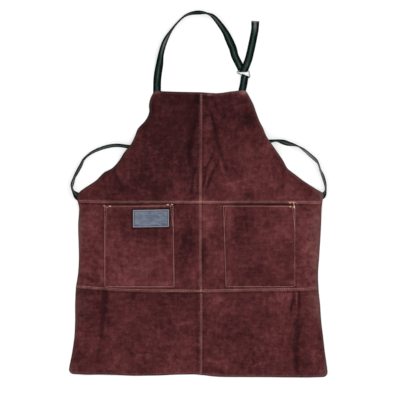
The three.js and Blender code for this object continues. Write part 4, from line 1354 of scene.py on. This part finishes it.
def frontTop(x, y):
    # top of whatever lies uppermost near the pockets' mouths: bib over middle, and the pockets
    bib, middle = (tierTop(tiers[name])(x, y) for name in ("bib", "middle"))
    top = np.where(y > footLine(tiers["bib"], x), bib, middle)
    for pocket in pocketCut.values():
        left, right = pocketEdges(pocket, y)
        inside = (x > left) & (x < right) & (y < pocketMouth(pocket, x))
        top = np.where(inside, np.maximum(top, pocketTop(pocket)(x, y)), top)
    return top


def tackBars(x, y, turn, bars, soil):
    # close bars of thread side by side: each is slanted a little, arched, and drawn in at its ends
    turn = np.radians(turn)
    along = (np.arange(bars) - bars / 2 + 0.5) * bartack["spacing"]
    stretch = 1 + bartack["uneven"] * chance.standard_normal((bars, 1))
    across = stitchShare[None, :] * bartack["reach"] * stretch
    along = along[:, None] + bartack["slant"] * stitchShare
    px = x + along * np.cos(turn) - across * np.sin(turn)
    py = y + along * np.sin(turn) + across * np.cos(turn)
    pz = frontTop(px, py) + bartack["rise"] - drawnIn(bartack)
    return np.stack([px, py, pz], -1), bartack["thick"] / 2, soil


def pocketRuns():
    # both sides with their short second rows, then foot and mouth
    runs = []
    for pocket in pocketCut.values():
        heightAt = pocketTop(pocket)
        low = pocket["foot"][0]
        for edge, inward in ((0, 1), (1, -1)):
            high = pocketMouth(pocket, pocket["head"][edge + 1])
            shortStart = high - pocketShape["innerLength"] + rowEnds["short"]
            for start, soil in ((low + rowEnds["side"], "pocket"), (shortStart, "short")):
                y = np.arange(start, high - rowEnds["top"], sewing["step"])
                row = pocketShape["sideRow"] if soil == "pocket" else innerRowAt(high - y)
                x = pocketEdges(pocket, y)[edge] + inward * row
                runs.append(stitchesAlong(np.column_stack([x, y]), heightAt, seamThread, soiled[soil]))
        for place in ("foot", "head"):
            left, right = pocket[place][1:]
            x = np.arange(left + rowEnds["side"], right - rowEnds["side"], sewing["step"])
            y = 0 * x + low + pocketShape["footRow"]
            if place == "head":
                y = pocketMouth(pocket, x) - pocketShape["mouthRow"]
            runs.append(stitchesAlong(np.column_stack([x, y]), heightAt, seamThread, soiled["pocket"]))
    return runs


def labelRuns():
    # one row round the label, inside its edge
    inner = labelCloth["row"]
    left, right = labelCloth["left"] + inner, labelCloth["right"] - inner
    low, high = labelCloth["foot"] + inner, labelCloth["head"] - inner
    path = np.array([(left, low), (right, low), (right, high), (left, high), (left, low)], float)
    path[:, 1] += labelRise(path[:, 0])
    return [stitchesAlong(path, lambda x, y: labelHeights(x, y)[1], labelThread, 0)]


threadLook = {
    "fibreScale": 2600.0, "fibreShare": 0.3, "patchNoise": (35.0, 3.0, 0.6), "patchShare": 0.7,
    "bump": 0.4, "bumpDepth": 0.0003, "surface": {"Roughness": 0.8, "Specular IOR Level": 0.1},
}


def makeThread(name, colours):
    material, tree, shader = newMaterial(name)
    place, soil = objectPlace(tree), attributeNode(tree, "soil")
    fibres = groupNode(tree, fibreGroup, {"Vector": place, "Scale": threadLook["fibreScale"]})
    patches = times(tree, noiseNode(tree, place, *threadLook["patchNoise"]), threadLook["patchShare"])
    total = plus(tree, times(tree, fibres.outputs["Shade"], threadLook["fibreShare"]), patches)
    total = mathNode(tree, "SUBTRACT", total, soil)
    tree.links.new(rampNode(tree, total, colours), shader.inputs["Base Color"])
    addBump(tree, shader, fibres.outputs["Height"], threadLook)
    setSurface(shader, threadLook)
    return material


# From soiled to fresh
threadColours = {
    "pinkThread": [(0.05, (0.13, 0.046, 0.044)), (0.35, (0.30, 0.125, 0.112)), (0.65, (0.56, 0.27, 0.24))],
    "tackThread": [(0.0, (0.24, 0.12, 0.08)), (0.35, (0.50, 0.28, 0.22)), (0.65, (0.80, 0.53, 0.44))],
    "labelThread": [(0.3, (0.22, 0.20, 0.25)), (0.65, (0.40, 0.37, 0.42))],
}


def makeStitches():
    groups = {
        "hem_stitches": (hemRuns(), "pinkThread"),
        "seam_stitches": (seamRuns(), "pinkThread"),
        "pocket_stitches": (pocketRuns(), "pinkThread"),
        "pocket_bartacks": ([tackBars(*spot) for spot in tackSpots], "tackThread"),
        "label_stitches": (labelRuns(), "labelThread"),
    }
    materials = {name: makeThread(name, colours) for name, colours in threadColours.items()}
    for name, (runs, thread) in groups.items():
        piece = linkPiece(name, threadMesh(name, runs))
        finishPiece(piece, materials[thread])
        print(name, "has", sum(len(run[0]) for run in runs), "stitches")


makeStitches()

# Floor and light
white = (1, 1, 1, 1)
floorSheet = {"size": 12, "drop": 0.3,
              "surface": {"Base Color": (0.5, 0.5, 0.5, 1), "Roughness": 0.9, "Specular IOR Level": 0.1,
                          "Emission Color": white, "Emission Strength": 0.5}}
lamps = [
    {"name": "keyLamp", "place": (1.5, 1.3, 2.6), "size": 1.6, "power": 26},
    {"name": "fillLamp", "place": (-1.8, -0.8, 2.4), "size": 2.2, "power": 12},
]
skyStrength = 0.95


def makeStage():
    half = floorSheet["size"] / 2 / mm
    corners = np.array([(-half, -half), (half, -half), (half, half), (-half, half)], float)
    points = np.column_stack([corners, np.full(4, -floorSheet["drop"])])
    floor = linkPiece("floor", fillMesh("floor", points, np.array([[0, 1, 2, 3]])))
    material, tree, shader = newMaterial("paleFloor")
    setSurface(shader, floorSheet)
    floor.data.materials.append(material)
    for lamp in lamps:
        data = bpy.data.lights.new(lamp["name"], "AREA")
        data.shape = "DISK"
        data.size = lamp["size"]
        data.energy = lamp["power"]
        light = bpy.data.objects.new(lamp["name"], data)
        bpy.context.scene.collection.objects.link(light)
        light.location = lamp["place"]
        light.rotation_mode = "QUATERNION"
        light.rotation_quaternion = light.location.to_track_quat("Z", "Y")
    world = bpy.data.worlds.new("softStudio")
    world.use_nodes = True
    sky = world.node_tree.nodes["Background"]
    sky.inputs["Color"].default_value = white
    sky.inputs["Strength"].default_value = skyStrength
    bpy.context.scene.world = world
    bpy.context.scene.view_settings.view_transform = "Standard"


makeStage()
print("floor and light made")
